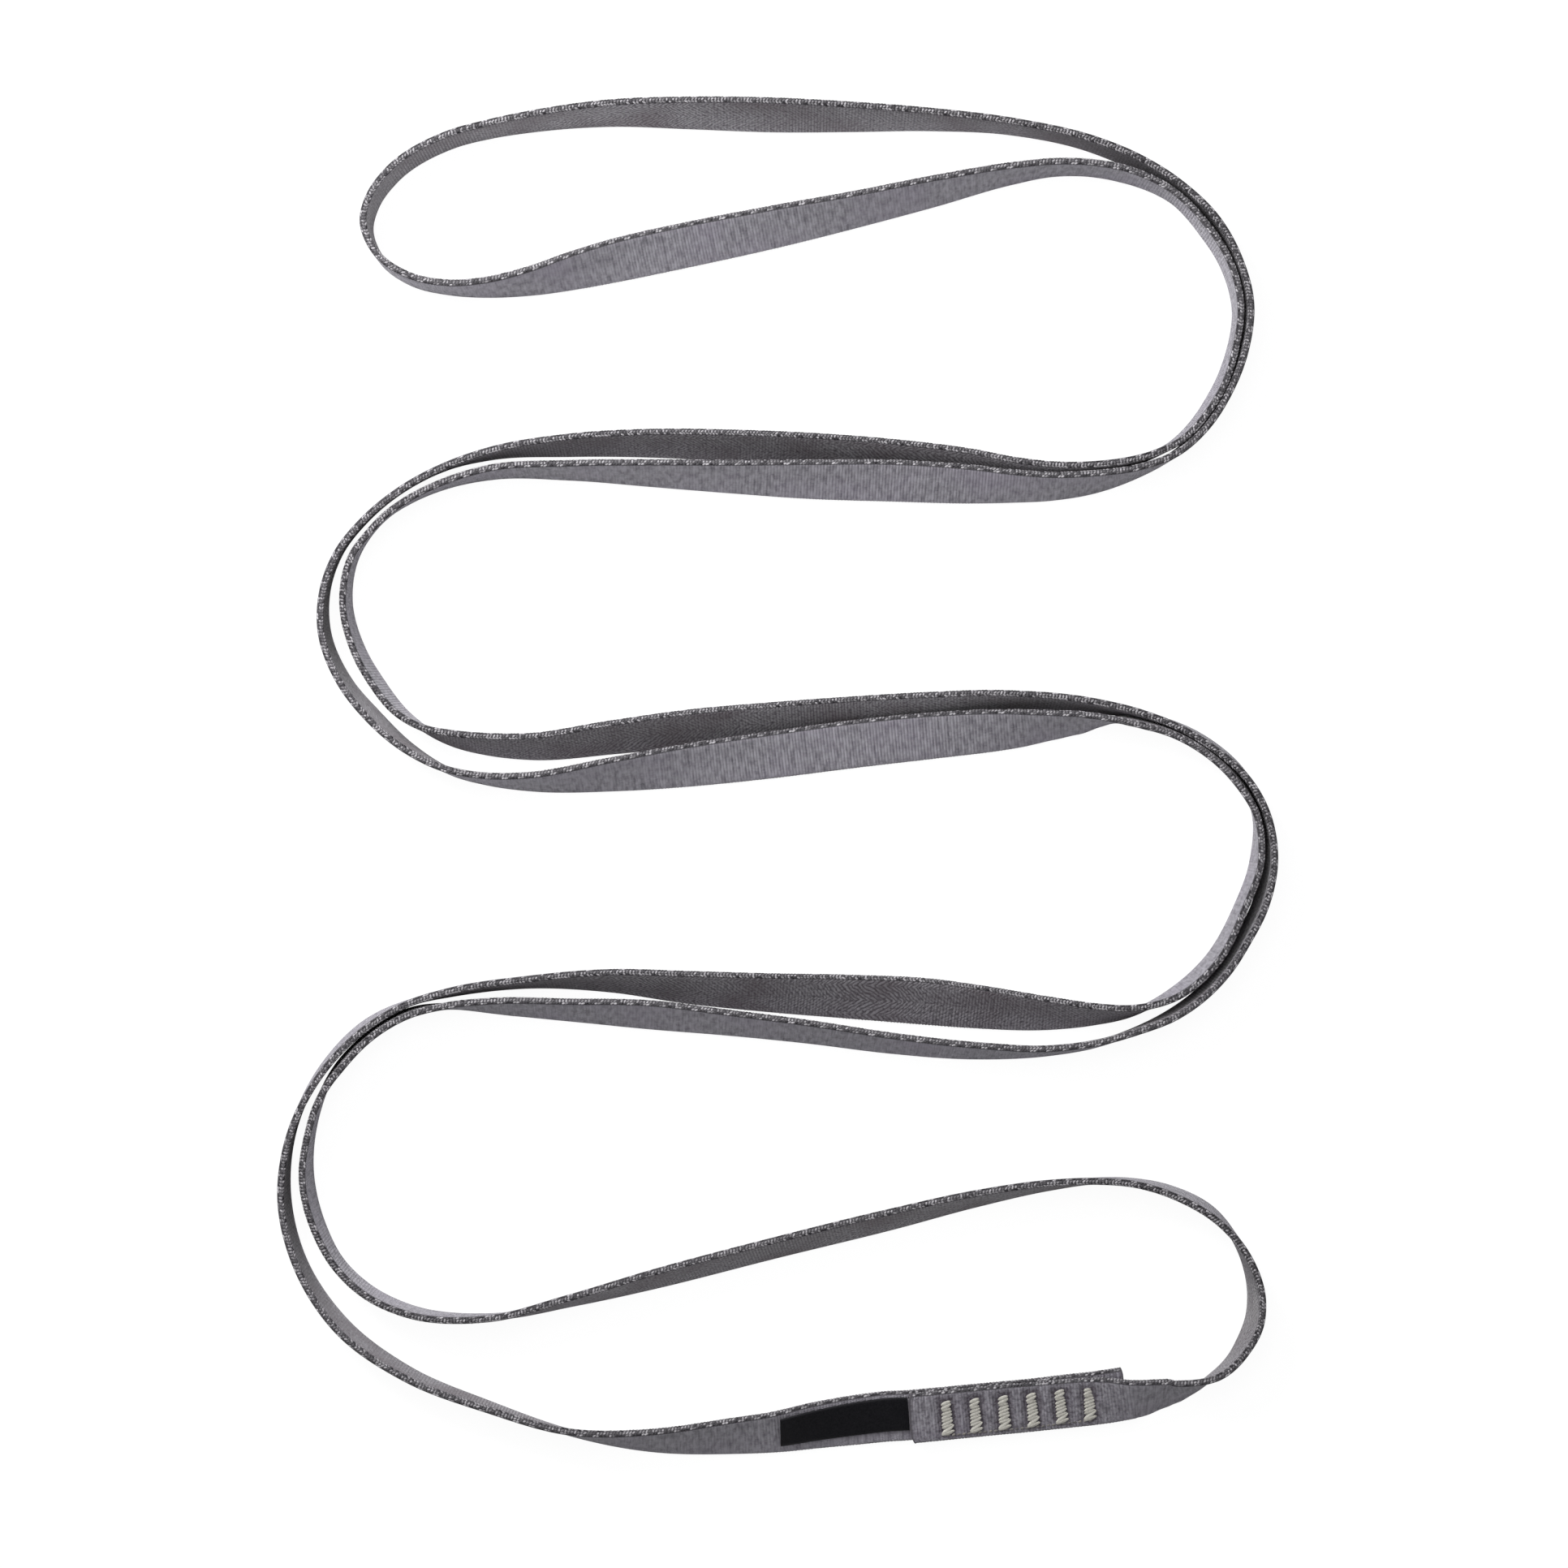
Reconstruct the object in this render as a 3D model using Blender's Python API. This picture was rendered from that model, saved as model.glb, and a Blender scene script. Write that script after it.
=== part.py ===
"""A sewn climbing sling of flat nylon webbing, laid out in five runs with four turns.

One strap of webbing is closed into a loop by a splice: its two ends lie on each other and
six bar tacks go through both. A woven label is caught between the two layers and hangs out
of the splice as a flap. The loop is laid double, so that each run and each turn has two
strands side by side. The strap stands on its edge in the turns and leans over in the runs.

The frame is +X to the right, +Y away from the splice and +Z up, with the floor at zero.
"""

import bisect
import math

import bpy
import bmesh
from mathutils import Euler, Matrix, Vector

# Driving dimensions, in metres
WEBBING_WIDTH = 0.018
WEBBING_THICKNESS = 0.0026
LAYER_GAP = 0.0003
PIECE_GAP = 0.0003

# The most that one section of the strap may differ from the next: in length, and in degrees
SECTION_SPACING = 0.024
SECTION_TURN = 12
SECTION_TWIST = 6

# The flat edge of the webbing and the rounding beside it, as shares of its thickness
EDGE_FLAT_SHARE = 0.5
EDGE_ROUND_SHARE = 0.35

# The splice: its middle on the floor plan, which way the strap runs there and how it leans
SPLICE_MIDDLE = (0.0788, -0.2049)
SPLICE_HEADING = 185
SPLICE_LEAN = -79
SPLICE_LENGTH = 0.0712
SPLICE_EASE = 0.0025
SPLICE_STANDOFF = 0.0005

# The bar tacks
TACK_COUNT = 6
TACK_MARGIN = 0.0122
TACK_LENGTH = 0.0115
TACK_WIDTH = 0.0034
TACK_HEIGHT = 0.0004
TACK_STEM = 0.0010
TACK_CLEARANCE = 0.0003

# The label
LABEL_WIDTH = 0.012
LABEL_THICKNESS = 0.0005
LABEL_FLAP_LENGTH = 0.0424
LABEL_ROOT_LENGTH = 0.008
LABEL_CLEARANCE = 0.0003
LABEL_LIFT = 0.0005
LABEL_HINGE_SETBACK = 0.0005

# How far a cutter runs past what it cuts
OVERRUN = 0.002

# How finely the smooth route is followed before it is cut into stretches
ROUTE_STEP = 0.001

# The strap's middle line after it leaves the splice, once round the whole loop and back, as
# (x, y, lean). Lean is in degrees from upright, positive where the top edge leans to the left
# of the way that the line runs. Each stretch starts where the one before it ends.
LOOP = (
    ("run_5_lower_strand", (
        (0.0258, -0.2100, -75),
        (0.0128, -0.2117, -66),
        (-0.0007, -0.2137, -56),
        (-0.0142, -0.2148, -49),
        (-0.0412, -0.2159, -32),
        (-0.0677, -0.2130, -14),
        (-0.0942, -0.2047, -7),
    )),
    ("turn_4_outer_strand", (
        (-0.1207, -0.1940, -3),
        (-0.1422, -0.1784, 0),
        (-0.1560, -0.1575, -2),
        (-0.1611, -0.1360, -2),
        (-0.1587, -0.1150, -5),
        (-0.1479, -0.0935, -7),
        (-0.1340, -0.0797, -6),
        (-0.1203, -0.0727, 1),
        (-0.1069, -0.0692, 6),
    )),
    ("run_4_upper_strand", (
        (-0.0807, -0.0658, 11),
        (-0.0547, -0.0654, 24),
        (-0.0285, -0.0677, 37),
        (-0.0022, -0.0695, 46),
        (0.0244, -0.0709, 55),
        (0.0504, -0.0726, 60),
        (0.0633, -0.0739, 55),
        (0.0898, -0.0762, 37),
        (0.1032, -0.0764, 24),
    )),
    ("turn_3_inner_strand", (
        (0.1167, -0.0751, 11),
        (0.1295, -0.0700, -1),
        (0.1423, -0.0588, -3),
        (0.1516, -0.0416, 0),
        (0.1571, -0.0250, 0),
        (0.1554, -0.0098, 4),
        (0.1486, 0.0008, 5),
        (0.1393, 0.0090, 2),
        (0.1297, 0.0144, 0),
        (0.1164, 0.0180, -3),
        (0.1031, 0.0186, -14),
    )),
    ("run_3_lower_strand", (
        (0.0901, 0.0180, -28),
        (0.0773, 0.0170, -42),
        (0.0515, 0.0149, -55),
        (0.0255, 0.0121, -58),
        (-0.0012, 0.0086, -56),
        (-0.0277, 0.0053, -49),
        (-0.0537, 0.0021, -34),
        (-0.0807, -0.0003, -15),
        (-0.0941, 0.0005, -8),
    )),
    ("turn_2_outer_strand", (
        (-0.1073, 0.0034, -3),
        (-0.1201, 0.0104, 3),
        (-0.1327, 0.0218, 7),
        (-0.1413, 0.0324, 4),
        (-0.1480, 0.0490, -1),
        (-0.1474, 0.0640, -5),
        (-0.1432, 0.0748, -7),
        (-0.1347, 0.0855, -8),
        (-0.1210, 0.0964, -8),
        (-0.1077, 0.1030, -6),
        (-0.0940, 0.1069, 0),
    )),
    ("run_2_upper_strand", (
        (-0.0677, 0.1097, 13),
        (-0.0414, 0.1104, 20),
        (-0.0153, 0.1096, 25),
        (0.0111, 0.1080, 30),
        (0.0373, 0.1057, 33),
        (0.0633, 0.1028, 30),
        (0.0768, 0.1011, 22),
        (0.0903, 0.1006, 14),
        (0.1033, 0.1018, 6),
    )),
    ("turn_1_inner_strand", (
        (0.1165, 0.1046, 0),
        (0.1293, 0.1104, 0),
        (0.1431, 0.1267, 0),
        (0.1487, 0.1410, 0),
        (0.1505, 0.1550, 0),
        (0.1466, 0.1695, 0),
        (0.1398, 0.1802, 0),
        (0.1295, 0.1908, 0),
        (0.1165, 0.1975, 0),
        (0.1033, 0.2003, 0),
    )),
    ("run_1_lower_strand", (
        (0.0903, 0.2005, -2),
        (0.0773, 0.1986, -7),
        (0.0513, 0.1928, -19),
        (0.0251, 0.1868, -27),
        (-0.0012, 0.1813, -36),
        (-0.0272, 0.1760, -40),
        (-0.0537, 0.1702, -37),
        (-0.0667, 0.1669, -29),
        (-0.0802, 0.1635, -17),
        (-0.0939, 0.1614, -7),
    )),
    ("head_bight", (
        (-0.1071, 0.1613, -1),
        (-0.1203, 0.1643, 0),
        (-0.1295, 0.1707, 0),
        (-0.1342, 0.1820, 0),
        (-0.1320, 0.1900, 0),
        (-0.1261, 0.1980, 0),
        (-0.1072, 0.2095, 0),
        (-0.0939, 0.2131, 1),
    )),
    ("run_1_upper_strand", (
        (-0.0807, 0.2155, 4),
        (-0.0544, 0.2183, 11),
        (-0.0283, 0.2184, 18),
        (-0.0020, 0.2178, 21),
        (0.0243, 0.2171, 15),
        (0.0506, 0.2162, 6),
        (0.0771, 0.2139, -1),
        (0.1034, 0.2081, -2),
    )),
    ("turn_1_outer_strand", (
        (0.1165, 0.2027, -1),
        (0.1299, 0.1944, 0),
        (0.1434, 0.1813, 0),
        (0.1498, 0.1695, 0),
        (0.1536, 0.1550, 0),
        (0.1519, 0.1398, 0),
        (0.1463, 0.1254, 0),
        (0.1397, 0.1154, 1),
        (0.1297, 0.1066, 2),
        (0.1167, 0.1008, -5),
        (0.1036, 0.0977, -15),
    )),
    ("run_2_lower_strand", (
        (0.0903, 0.0963, -21),
        (0.0773, 0.0964, -27),
        (0.0636, 0.0971, -35),
        (0.0376, 0.0983, -40),
        (0.0113, 0.0987, -36),
        (-0.0151, 0.0995, -27),
        (-0.0414, 0.1006, -19),
        (-0.0677, 0.1015, -10),
        (-0.0939, 0.1008, -3),
    )),
    ("turn_2_inner_strand", (
        (-0.1072, 0.0976, 2),
        (-0.1205, 0.0918, 6),
        (-0.1277, 0.0870, 8),
        (-0.1338, 0.0805, 8),
        (-0.1379, 0.0743, 5),
        (-0.1409, 0.0590, 1),
        (-0.1369, 0.0428, -3),
        (-0.1311, 0.0325, -5),
        (-0.1226, 0.0220, -3),
        (-0.1139, 0.0164, 4),
        (-0.1073, 0.0142, 11),
        (-0.0942, 0.0119, 19),
    )),
    ("run_3_upper_strand", (
        (-0.0808, 0.0112, 24),
        (-0.0539, 0.0142, 33),
        (-0.0279, 0.0173, 38),
        (-0.0016, 0.0196, 38),
        (0.0248, 0.0216, 37),
        (0.0510, 0.0239, 30),
        (0.0770, 0.0260, 17),
        (0.1032, 0.0250, 5),
    )),
    ("turn_3_outer_strand", (
        (0.1166, 0.0229, -2),
        (0.1301, 0.0186, -7),
        (0.1436, 0.0107, -9),
        (0.1533, 0.0013, -7),
        (0.1590, -0.0097, -3),
        (0.1611, -0.0250, 2),
        (0.1577, -0.0414, 3),
        (0.1524, -0.0518, 3),
        (0.1457, -0.0624, 2),
        (0.1378, -0.0706, 1),
        (0.1297, -0.0763, 0),
        (0.1167, -0.0821, -5),
        (0.1036, -0.0861, -8),
    )),
    ("run_4_lower_strand", (
        (0.0903, -0.0881, -10),
        (0.0637, -0.0882, -18),
        (0.0372, -0.0858, -22),
        (0.0108, -0.0822, -25),
        (-0.0156, -0.0792, -28),
        (-0.0417, -0.0766, -32),
        (-0.0679, -0.0750, -24),
        (-0.0939, -0.0737, -16),
        (-0.1070, -0.0741, -9),
    )),
    ("turn_4_inner_strand", (
        (-0.1202, -0.0764, -2),
        (-0.1336, -0.0842, 1),
        (-0.1418, -0.0920, 4),
        (-0.1474, -0.0998, 4),
        (-0.1526, -0.1151, 3),
        (-0.1539, -0.1280, 0),
        (-0.1495, -0.1469, 1),
        (-0.1437, -0.1576, 3),
        (-0.1337, -0.1671, 3),
        (-0.1205, -0.1733, 4),
        (-0.0939, -0.1755, 8),
    )),
    ("run_5_upper_strand", (
        (-0.0671, -0.1699, 16),
        (-0.0405, -0.1631, 24),
        (-0.0011, -0.1529, 26),
        (0.0384, -0.1432, 26),
        (0.0645, -0.1368, 21),
        (0.0903, -0.1321, 13),
    )),
    ("tail_bight", (
        (0.1033, -0.1309, 8),
        (0.1164, -0.1314, 4),
        (0.1297, -0.1347, -2),
        (0.1433, -0.1422, -5),
        (0.1523, -0.1535, 0),
        (0.1568, -0.1690, 5),
        (0.1558, -0.1781, 4),
        (0.1499, -0.1890, -3),
        (0.1433, -0.1942, -9),
        (0.1367, -0.1972, -18),
        (0.1299, -0.1996, -32),
    )),
)

# The pieces of each group that moves as one, and the turn that each group folds about
BODY_PIECES = {
    "head": ("head_bight", "run_1_upper_strand", "run_1_lower_strand"),
    "run_2": (
        "run_2_upper_strand", "run_2_lower_strand",
        "turn_1_outer_strand", "turn_1_inner_strand",
    ),
    "run_3": (
        "run_3_upper_strand", "run_3_lower_strand",
        "turn_2_outer_strand", "turn_2_inner_strand",
        "turn_3_outer_strand", "turn_3_inner_strand",
    ),
    "run_4": (
        "run_4_upper_strand", "run_4_lower_strand",
        "turn_4_outer_strand", "turn_4_inner_strand",
    ),
    "tail": (
        "run_5_upper_strand", "run_5_lower_strand", "tail_bight",
        "splice_top_layer", "splice_under_layer", "label_root",
        *(f"bar_tack_{number}" for number in range(1, TACK_COUNT + 1)),
    ),
    "label": ("label_flap",),
}
BODY_FOLDS = {"head": "turn_1", "run_2": "turn_2", "run_4": "turn_3", "tail": "turn_4"}


def clear_scene():
    for obj in list(bpy.data.objects):
        bpy.data.objects.remove(obj, do_unlink=True)


def new_collection(name):
    collection = bpy.data.collections.new(name)
    bpy.context.scene.collection.children.link(collection)
    return collection


def new_material(name, colour, roughness):
    material = bpy.data.materials.new(name)
    material.use_nodes = True
    shader = material.node_tree.nodes["Principled BSDF"]
    shader.inputs["Base Color"].default_value = (*colour, 1)
    shader.inputs["Roughness"].default_value = roughness
    shader.inputs["Metallic"].default_value = 0
    material.diffuse_color = (*colour, 1)
    return material


def webbing_section():
    """The webbing's outline: flat faces, rounded beside a narrow flat edge. X is across it."""
    half_thick = WEBBING_THICKNESS / 2
    half_width = WEBBING_WIDTH / 2
    flat = half_thick * EDGE_FLAT_SHARE
    shoulder = half_width - WEBBING_THICKNESS * EDGE_ROUND_SHARE
    return [
        (-half_thick, -shoulder), (-half_thick, shoulder),
        (-flat, half_width), (flat, half_width),
        (half_thick, shoulder), (half_thick, -shoulder),
        (flat, -half_width), (-flat, -half_width),
    ]


def fold_axis(outer, inner):
    """Where a turn folds: between the places of its two strands that lie farthest out."""
    far = [max(strand, key=lambda station: abs(station.place.x)) for strand in (outer, inner)]
    middle = (far[0].place + far[1].place) / 2
    return Vector((middle.x, middle.y, 0))


def tape_section(width, thickness):
    """A plain tape's outline, standing on its edge."""
    x = thickness / 2
    y = width / 2
    return [(-x, -y), (-x, y), (x, y), (x, -y)]


def rest_height(lean, section):
    """How high the middle of a section lies when it leans by so much and touches the floor."""
    angle = math.radians(lean)
    return -min(x * math.sin(angle) + y * math.cos(angle) for x, y in section)


def heading_vector(degrees):
    angle = math.radians(degrees)
    return Vector((math.cos(angle), math.sin(angle)))


class Station:
    """One place on the strap's middle line, with the way the strap runs and leans there."""

    def __init__(self, place, tangent, lean):
        self.place = place
        self.tangent = tangent.normalized()
        self.lean = lean

    def face_normal(self):
        """The way the strap's left face looks, which is upwards where the lean is negative."""
        left = Vector((-self.tangent.y, self.tangent.x, 0)).normalized()
        up = self.tangent.cross(left)
        angle = math.radians(self.lean)
        return left * math.cos(angle) - up * math.sin(angle)

    def raised(self, distance):
        return Station(self.place + self.face_normal() * distance, self.tangent, self.lean)


def smooth_route(controls):
    """A smooth curve through the control points (x, y, lean, lift), as close samples.

    Returns the samples and the sample number of each control point.
    """
    points = [Vector(point) for point in controls]
    spans = [(b.xy - a.xy).length for a, b in zip(points, points[1:])]
    slopes = []
    for i, point in enumerate(points):
        if i == 0:
            slopes.append((points[1] - point) / spans[0])
        elif i == len(points) - 1:
            slopes.append((point - points[i - 1]) / spans[-1])
        else:
            before = (point - points[i - 1]) / spans[i - 1]
            after = (points[i + 1] - point) / spans[i]
            share = spans[i - 1] / (spans[i - 1] + spans[i])
            slopes.append(before * (1 - share) + after * share)
    samples = []
    marks = []
    for i, span in enumerate(spans):
        marks.append(len(samples))
        steps = max(2, math.ceil(span / ROUTE_STEP))
        for step in range(steps):
            t = step / steps
            samples.append(
                points[i] * (2 * t**3 - 3 * t**2 + 1)
                + slopes[i] * span * (t**3 - 2 * t**2 + t)
                + points[i + 1] * (3 * t**2 - 2 * t**3)
                + slopes[i + 1] * span * (t**3 - t**2)
            )
    marks.append(len(samples))
    samples.append(points[-1])
    return samples, marks


def look_up(value, keys, values):
    """The value that goes with a key, between those listed."""
    i = min(max(bisect.bisect_right(keys, value), 1), len(keys) - 1)
    share = (value - keys[i - 1]) / (keys[i] - keys[i - 1])
    return values[i - 1] + (values[i] - values[i - 1]) * share


class Strap:
    """A strap along a smooth route, which can be cut into stretches by length."""

    def __init__(self, controls, section):
        samples, marks = smooth_route(controls)
        self.places = []
        self.leans = [sample[2] for sample in samples]
        for sample in samples:
            height = rest_height(sample[2], section) + max(0, sample[3])
            self.places.append(Vector((sample[0], sample[1], height)))
        steps = [b - a for a, b in zip(self.places, self.places[1:])]
        turns = [0, *(math.degrees(a.angle(b)) for a, b in zip(steps, steps[1:]))]
        twists = [abs(b - a) for a, b in zip(self.leans, self.leans[1:])]
        self.lengths = [0]
        self.efforts = [0]
        for step, turn, twist in zip(steps, turns, twists):
            self.lengths.append(self.lengths[-1] + step.length)
            effort = step.length / SECTION_SPACING + turn / SECTION_TURN + twist / SECTION_TWIST
            self.efforts.append(self.efforts[-1] + effort)
        self.control_lengths = [self.lengths[mark] for mark in marks]

    def at(self, length):
        i = bisect.bisect_right(self.lengths, length) - 1
        i = min(max(i, 0), len(self.places) - 2)
        share = (length - self.lengths[i]) / (self.lengths[i + 1] - self.lengths[i])
        place = self.places[i].lerp(self.places[i + 1], share)
        lean = self.leans[i] + (self.leans[i + 1] - self.leans[i]) * share
        before = self.places[max(i - 1, 0)]
        after = self.places[min(i + 2, len(self.places) - 1)]
        return Station(place, after - before, lean)

    def stretch(self, start, end):
        """Stations from one length to the other, closer where the strap bends or twists.

        One more lies close to each end, so that the end is cut square.
        """
        first = look_up(start, self.lengths, self.efforts)
        span = look_up(end, self.lengths, self.efforts) - first
        count = math.ceil(span)
        lengths = [start, start + PIECE_GAP]
        for i in range(1, count):
            lengths.append(look_up(first + span * i / count, self.efforts, self.lengths))
        lengths += [end - PIECE_GAP, end]
        return [self.at(length) for length in lengths]


def section_guide(name, section, collection):
    """A closed outline for a curve object to sweep."""
    curve = bpy.data.curves.new(name, "CURVE")
    curve.dimensions = "2D"
    spline = curve.splines.new("POLY")
    spline.points.add(len(section) - 1)
    for point, (x, y) in zip(spline.points, section):
        point.co = (x, y, 0, 1)
    spline.use_cyclic_u = True
    guide = bpy.data.objects.new(name, curve)
    guide.hide_render = True
    guide.display_type = "WIRE"
    collection.objects.link(guide)
    return guide


def swept_strap(name, stations, guide, material, collection):
    """A strap swept along its stations. Tilt turns a section to the right, lean to the left."""
    curve = bpy.data.curves.new(name, "CURVE")
    curve.dimensions = "3D"
    curve.twist_mode = "Z_UP"
    curve.bevel_mode = "OBJECT"
    curve.bevel_object = guide
    curve.use_fill_caps = True
    spline = curve.splines.new("POLY")
    spline.points.add(len(stations) - 1)
    for point, station in zip(spline.points, stations):
        point.co = (*station.place, 1)
        point.tilt = -math.radians(station.lean)
    curve.materials.append(material)
    strap = bpy.data.objects.new(name, curve)
    collection.objects.link(strap)
    return strap


def made_mesh(obj, collection):
    """The same piece as a mesh with its caps welded, ready to be cut."""
    graph = bpy.context.evaluated_depsgraph_get()
    mesh = bpy.data.meshes.new_from_object(obj.evaluated_get(graph))
    shape = bmesh.new()
    shape.from_mesh(mesh)
    bmesh.ops.remove_doubles(shape, verts=shape.verts, dist=PIECE_GAP / 100)
    shape.to_mesh(mesh)
    shape.free()
    name = obj.name
    matrix = obj.matrix_world.copy()
    bpy.data.objects.remove(obj, do_unlink=True)
    piece = bpy.data.objects.new(name, mesh)
    piece.matrix_world = matrix
    collection.objects.link(piece)
    return piece


def splice_frame(middle):
    """The splice's own axes at a station: X along the strap, Y across it, Z out of its face."""
    normal = middle.face_normal()
    across = normal.cross(middle.tangent)
    axes = Matrix((middle.tangent, across, normal)).transposed().to_4x4()
    return Matrix.Translation(middle.place) @ axes


def box_cutter(name, size, middle, frame, collection):
    """A box for cutting, sized and placed in the splice's axes."""
    mesh = bpy.data.meshes.new(name)
    shape = bmesh.new()
    bmesh.ops.create_cube(shape, size=1)
    bmesh.ops.scale(shape, vec=size, verts=shape.verts)
    shape.to_mesh(mesh)
    shape.free()
    cutter = bpy.data.objects.new(name, mesh)
    cutter.matrix_world = frame @ Matrix.Translation(middle)
    cutter.hide_render = True
    cutter.display_type = "WIRE"
    collection.objects.link(cutter)
    return cutter


def cut(piece, cutter):
    modifier = piece.modifiers.new(cutter.name, "BOOLEAN")
    modifier.operation = "DIFFERENCE"
    modifier.solver = "EXACT"
    modifier.object = cutter


def bar_tack(name, low, high, frame, along, material, collection):
    """A bar of stitches: a stem through both layers, with a raised bar on each face.

    Its outline is drawn along the strap and out of its face, and then runs across the strap.
    """
    wide = TACK_WIDTH / 2
    thin = TACK_STEM / 2
    outline = [
        (-wide, low - TACK_HEIGHT), (wide, low - TACK_HEIGHT), (wide, low), (thin, low),
        (thin, high), (wide, high), (wide, high + TACK_HEIGHT), (-wide, high + TACK_HEIGHT),
        (-wide, high), (-thin, high), (-thin, low), (-wide, low),
    ]
    curve = bpy.data.curves.new(name, "CURVE")
    curve.dimensions = "2D"
    curve.fill_mode = "BOTH"
    curve.extrude = TACK_LENGTH / 2
    spline = curve.splines.new("POLY")
    spline.points.add(len(outline) - 1)
    for point, (x, y) in zip(spline.points, outline):
        point.co = (x, y, 0, 1)
    spline.use_cyclic_u = True
    curve.materials.append(material)
    tack = bpy.data.objects.new(name, curve)
    upright = Euler((math.radians(90), 0, 0)).to_matrix().to_4x4()
    tack.matrix_world = frame @ Matrix.Translation((along, 0, 0)) @ upright
    collection.objects.link(tack)
    return tack


def splice_control(along, layers_up, section):
    """A control point in the flat splice, so far along it and so many layers up."""
    way = heading_vector(SPLICE_HEADING)
    place = Vector(SPLICE_MIDDLE) + way * along
    rest = rest_height(SPLICE_LEAN, section)
    low = Station(Vector((*place, rest + SPLICE_STANDOFF)), way.to_3d(), SPLICE_LEAN)
    high = low.raised((WEBBING_THICKNESS + LAYER_GAP) * layers_up).place
    return (high.x, high.y, SPLICE_LEAN, high.z - rest)


def main():
    clear_scene()
    sling = new_collection("climbing_sling")
    cutters = new_collection("cutters")
    grey_nylon = new_material("grey_nylon_webbing", (0.26, 0.255, 0.28), 0.75)
    black_tape = new_material("black_label_tape", (0.012, 0.012, 0.016), 0.6)
    cream_thread = new_material("cream_thread", (0.58, 0.55, 0.48), 0.7)

    section = webbing_section()
    guide = section_guide("webbing_section", section, cutters)
    tape = tape_section(LABEL_WIDTH, LABEL_THICKNESS)
    tape_guide = section_guide("label_section", tape, cutters)

    # The strap starts with the splice's under layer and ends with its top layer
    half_splice = SPLICE_LENGTH / 2
    starts = (-half_splice, 0, half_splice, half_splice + SPLICE_EASE)
    ends = (-half_splice - SPLICE_EASE, -half_splice, 0, half_splice)
    controls = [splice_control(along, 0, section) for along in starts]
    for _, points in LOOP:
        controls += [(*point, 0) for point in points]
    controls += [splice_control(along, 1, section) for along in ends]
    strap = Strap(controls, section)
    marks = strap.control_lengths
    left_end = marks[starts.index(half_splice)]
    top_start = marks[ends.index(-half_splice) - len(ends)]

    # The loop, one stretch after another
    half_gap = PIECE_GAP / 2
    cuts = [left_end]
    last = len(starts) - 1
    for _, points in LOOP:
        last += len(points)
        cuts.append(marks[last])
    cuts[-1] = top_start
    pieces = {}
    strands = {}
    for (name, _), low, high in zip(LOOP, cuts, cuts[1:]):
        stations = strap.stretch(low + half_gap, high - half_gap)
        strands[name] = stations
        pieces[name] = swept_strap(name, stations, guide, grey_nylon, sling)
    print(f"The loop is {top_start:.4f} m long, {top_start / 2:.4f} m doubled")

    # The splice's two layers, one above the other
    layers = {
        "splice_under_layer": strap.stretch(0, left_end - half_gap),
        "splice_top_layer": strap.stretch(top_start + half_gap, marks[-1]),
    }
    for name, stations in layers.items():
        layer = swept_strap(name, stations, guide, grey_nylon, sling)
        pieces[name] = made_mesh(layer, sling)

    # The label: its root between the layers and its flap along the strap beside the splice
    rise = (WEBBING_THICKNESS + LABEL_THICKNESS) / 2 + LABEL_CLEARANCE
    root = [station.raised(rise) for station in strap.stretch(
        left_end - LABEL_ROOT_LENGTH, left_end - half_gap
    )]
    pieces["label_root"] = swept_strap("label_root", root, tape_guide, black_tape, sling)
    flap = strap.stretch(left_end + half_gap, left_end + LABEL_FLAP_LENGTH)
    rises = [rise + LABEL_LIFT * i / (len(flap) - 1) for i in range(len(flap))]
    flap = [station.raised(height) for station, height in zip(flap, rises)]
    pieces["label_flap"] = swept_strap("label_flap", flap, tape_guide, black_tape, sling)
    frame = splice_frame(strap.at(left_end / 2))
    pocket_top = WEBBING_THICKNESS / 2 + LABEL_THICKNESS + 2 * LABEL_CLEARANCE
    pocket_low = WEBBING_THICKNESS / 2 + LAYER_GAP - OVERRUN / 2
    pocket_start = half_splice - LABEL_ROOT_LENGTH - LABEL_CLEARANCE
    pocket_end = half_splice + OVERRUN
    pocket = box_cutter(
        "label_pocket",
        (
            pocket_end - pocket_start,
            LABEL_WIDTH + 2 * LABEL_CLEARANCE,
            pocket_top - pocket_low,
        ),
        ((pocket_start + pocket_end) / 2, 0, (pocket_low + pocket_top) / 2),
        frame, cutters,
    )
    cut(pieces["splice_top_layer"], pocket)

    # The bar tacks, each in a slot through both layers
    low = -WEBBING_THICKNESS / 2 - TACK_CLEARANCE
    high = 3 * WEBBING_THICKNESS / 2 + LAYER_GAP + TACK_CLEARANCE
    pitch = (SPLICE_LENGTH - 2 * TACK_MARGIN) / (TACK_COUNT - 1)
    for number in range(1, TACK_COUNT + 1):
        along = half_splice - TACK_MARGIN - (number - 1) * pitch
        name = f"bar_tack_{number}"
        pieces[name] = bar_tack(name, low, high, frame, along, cream_thread, sling)
        slot = box_cutter(
            f"slot_{number}",
            (
                TACK_STEM + 2 * TACK_CLEARANCE,
                TACK_LENGTH + 2 * TACK_CLEARANCE,
                high - low + 2 * OVERRUN,
            ),
            (along, 0, (low + high) / 2),
            frame, cutters,
        )
        cut(pieces["splice_under_layer"], slot)
        cut(pieces["splice_top_layer"], slot)

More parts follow.
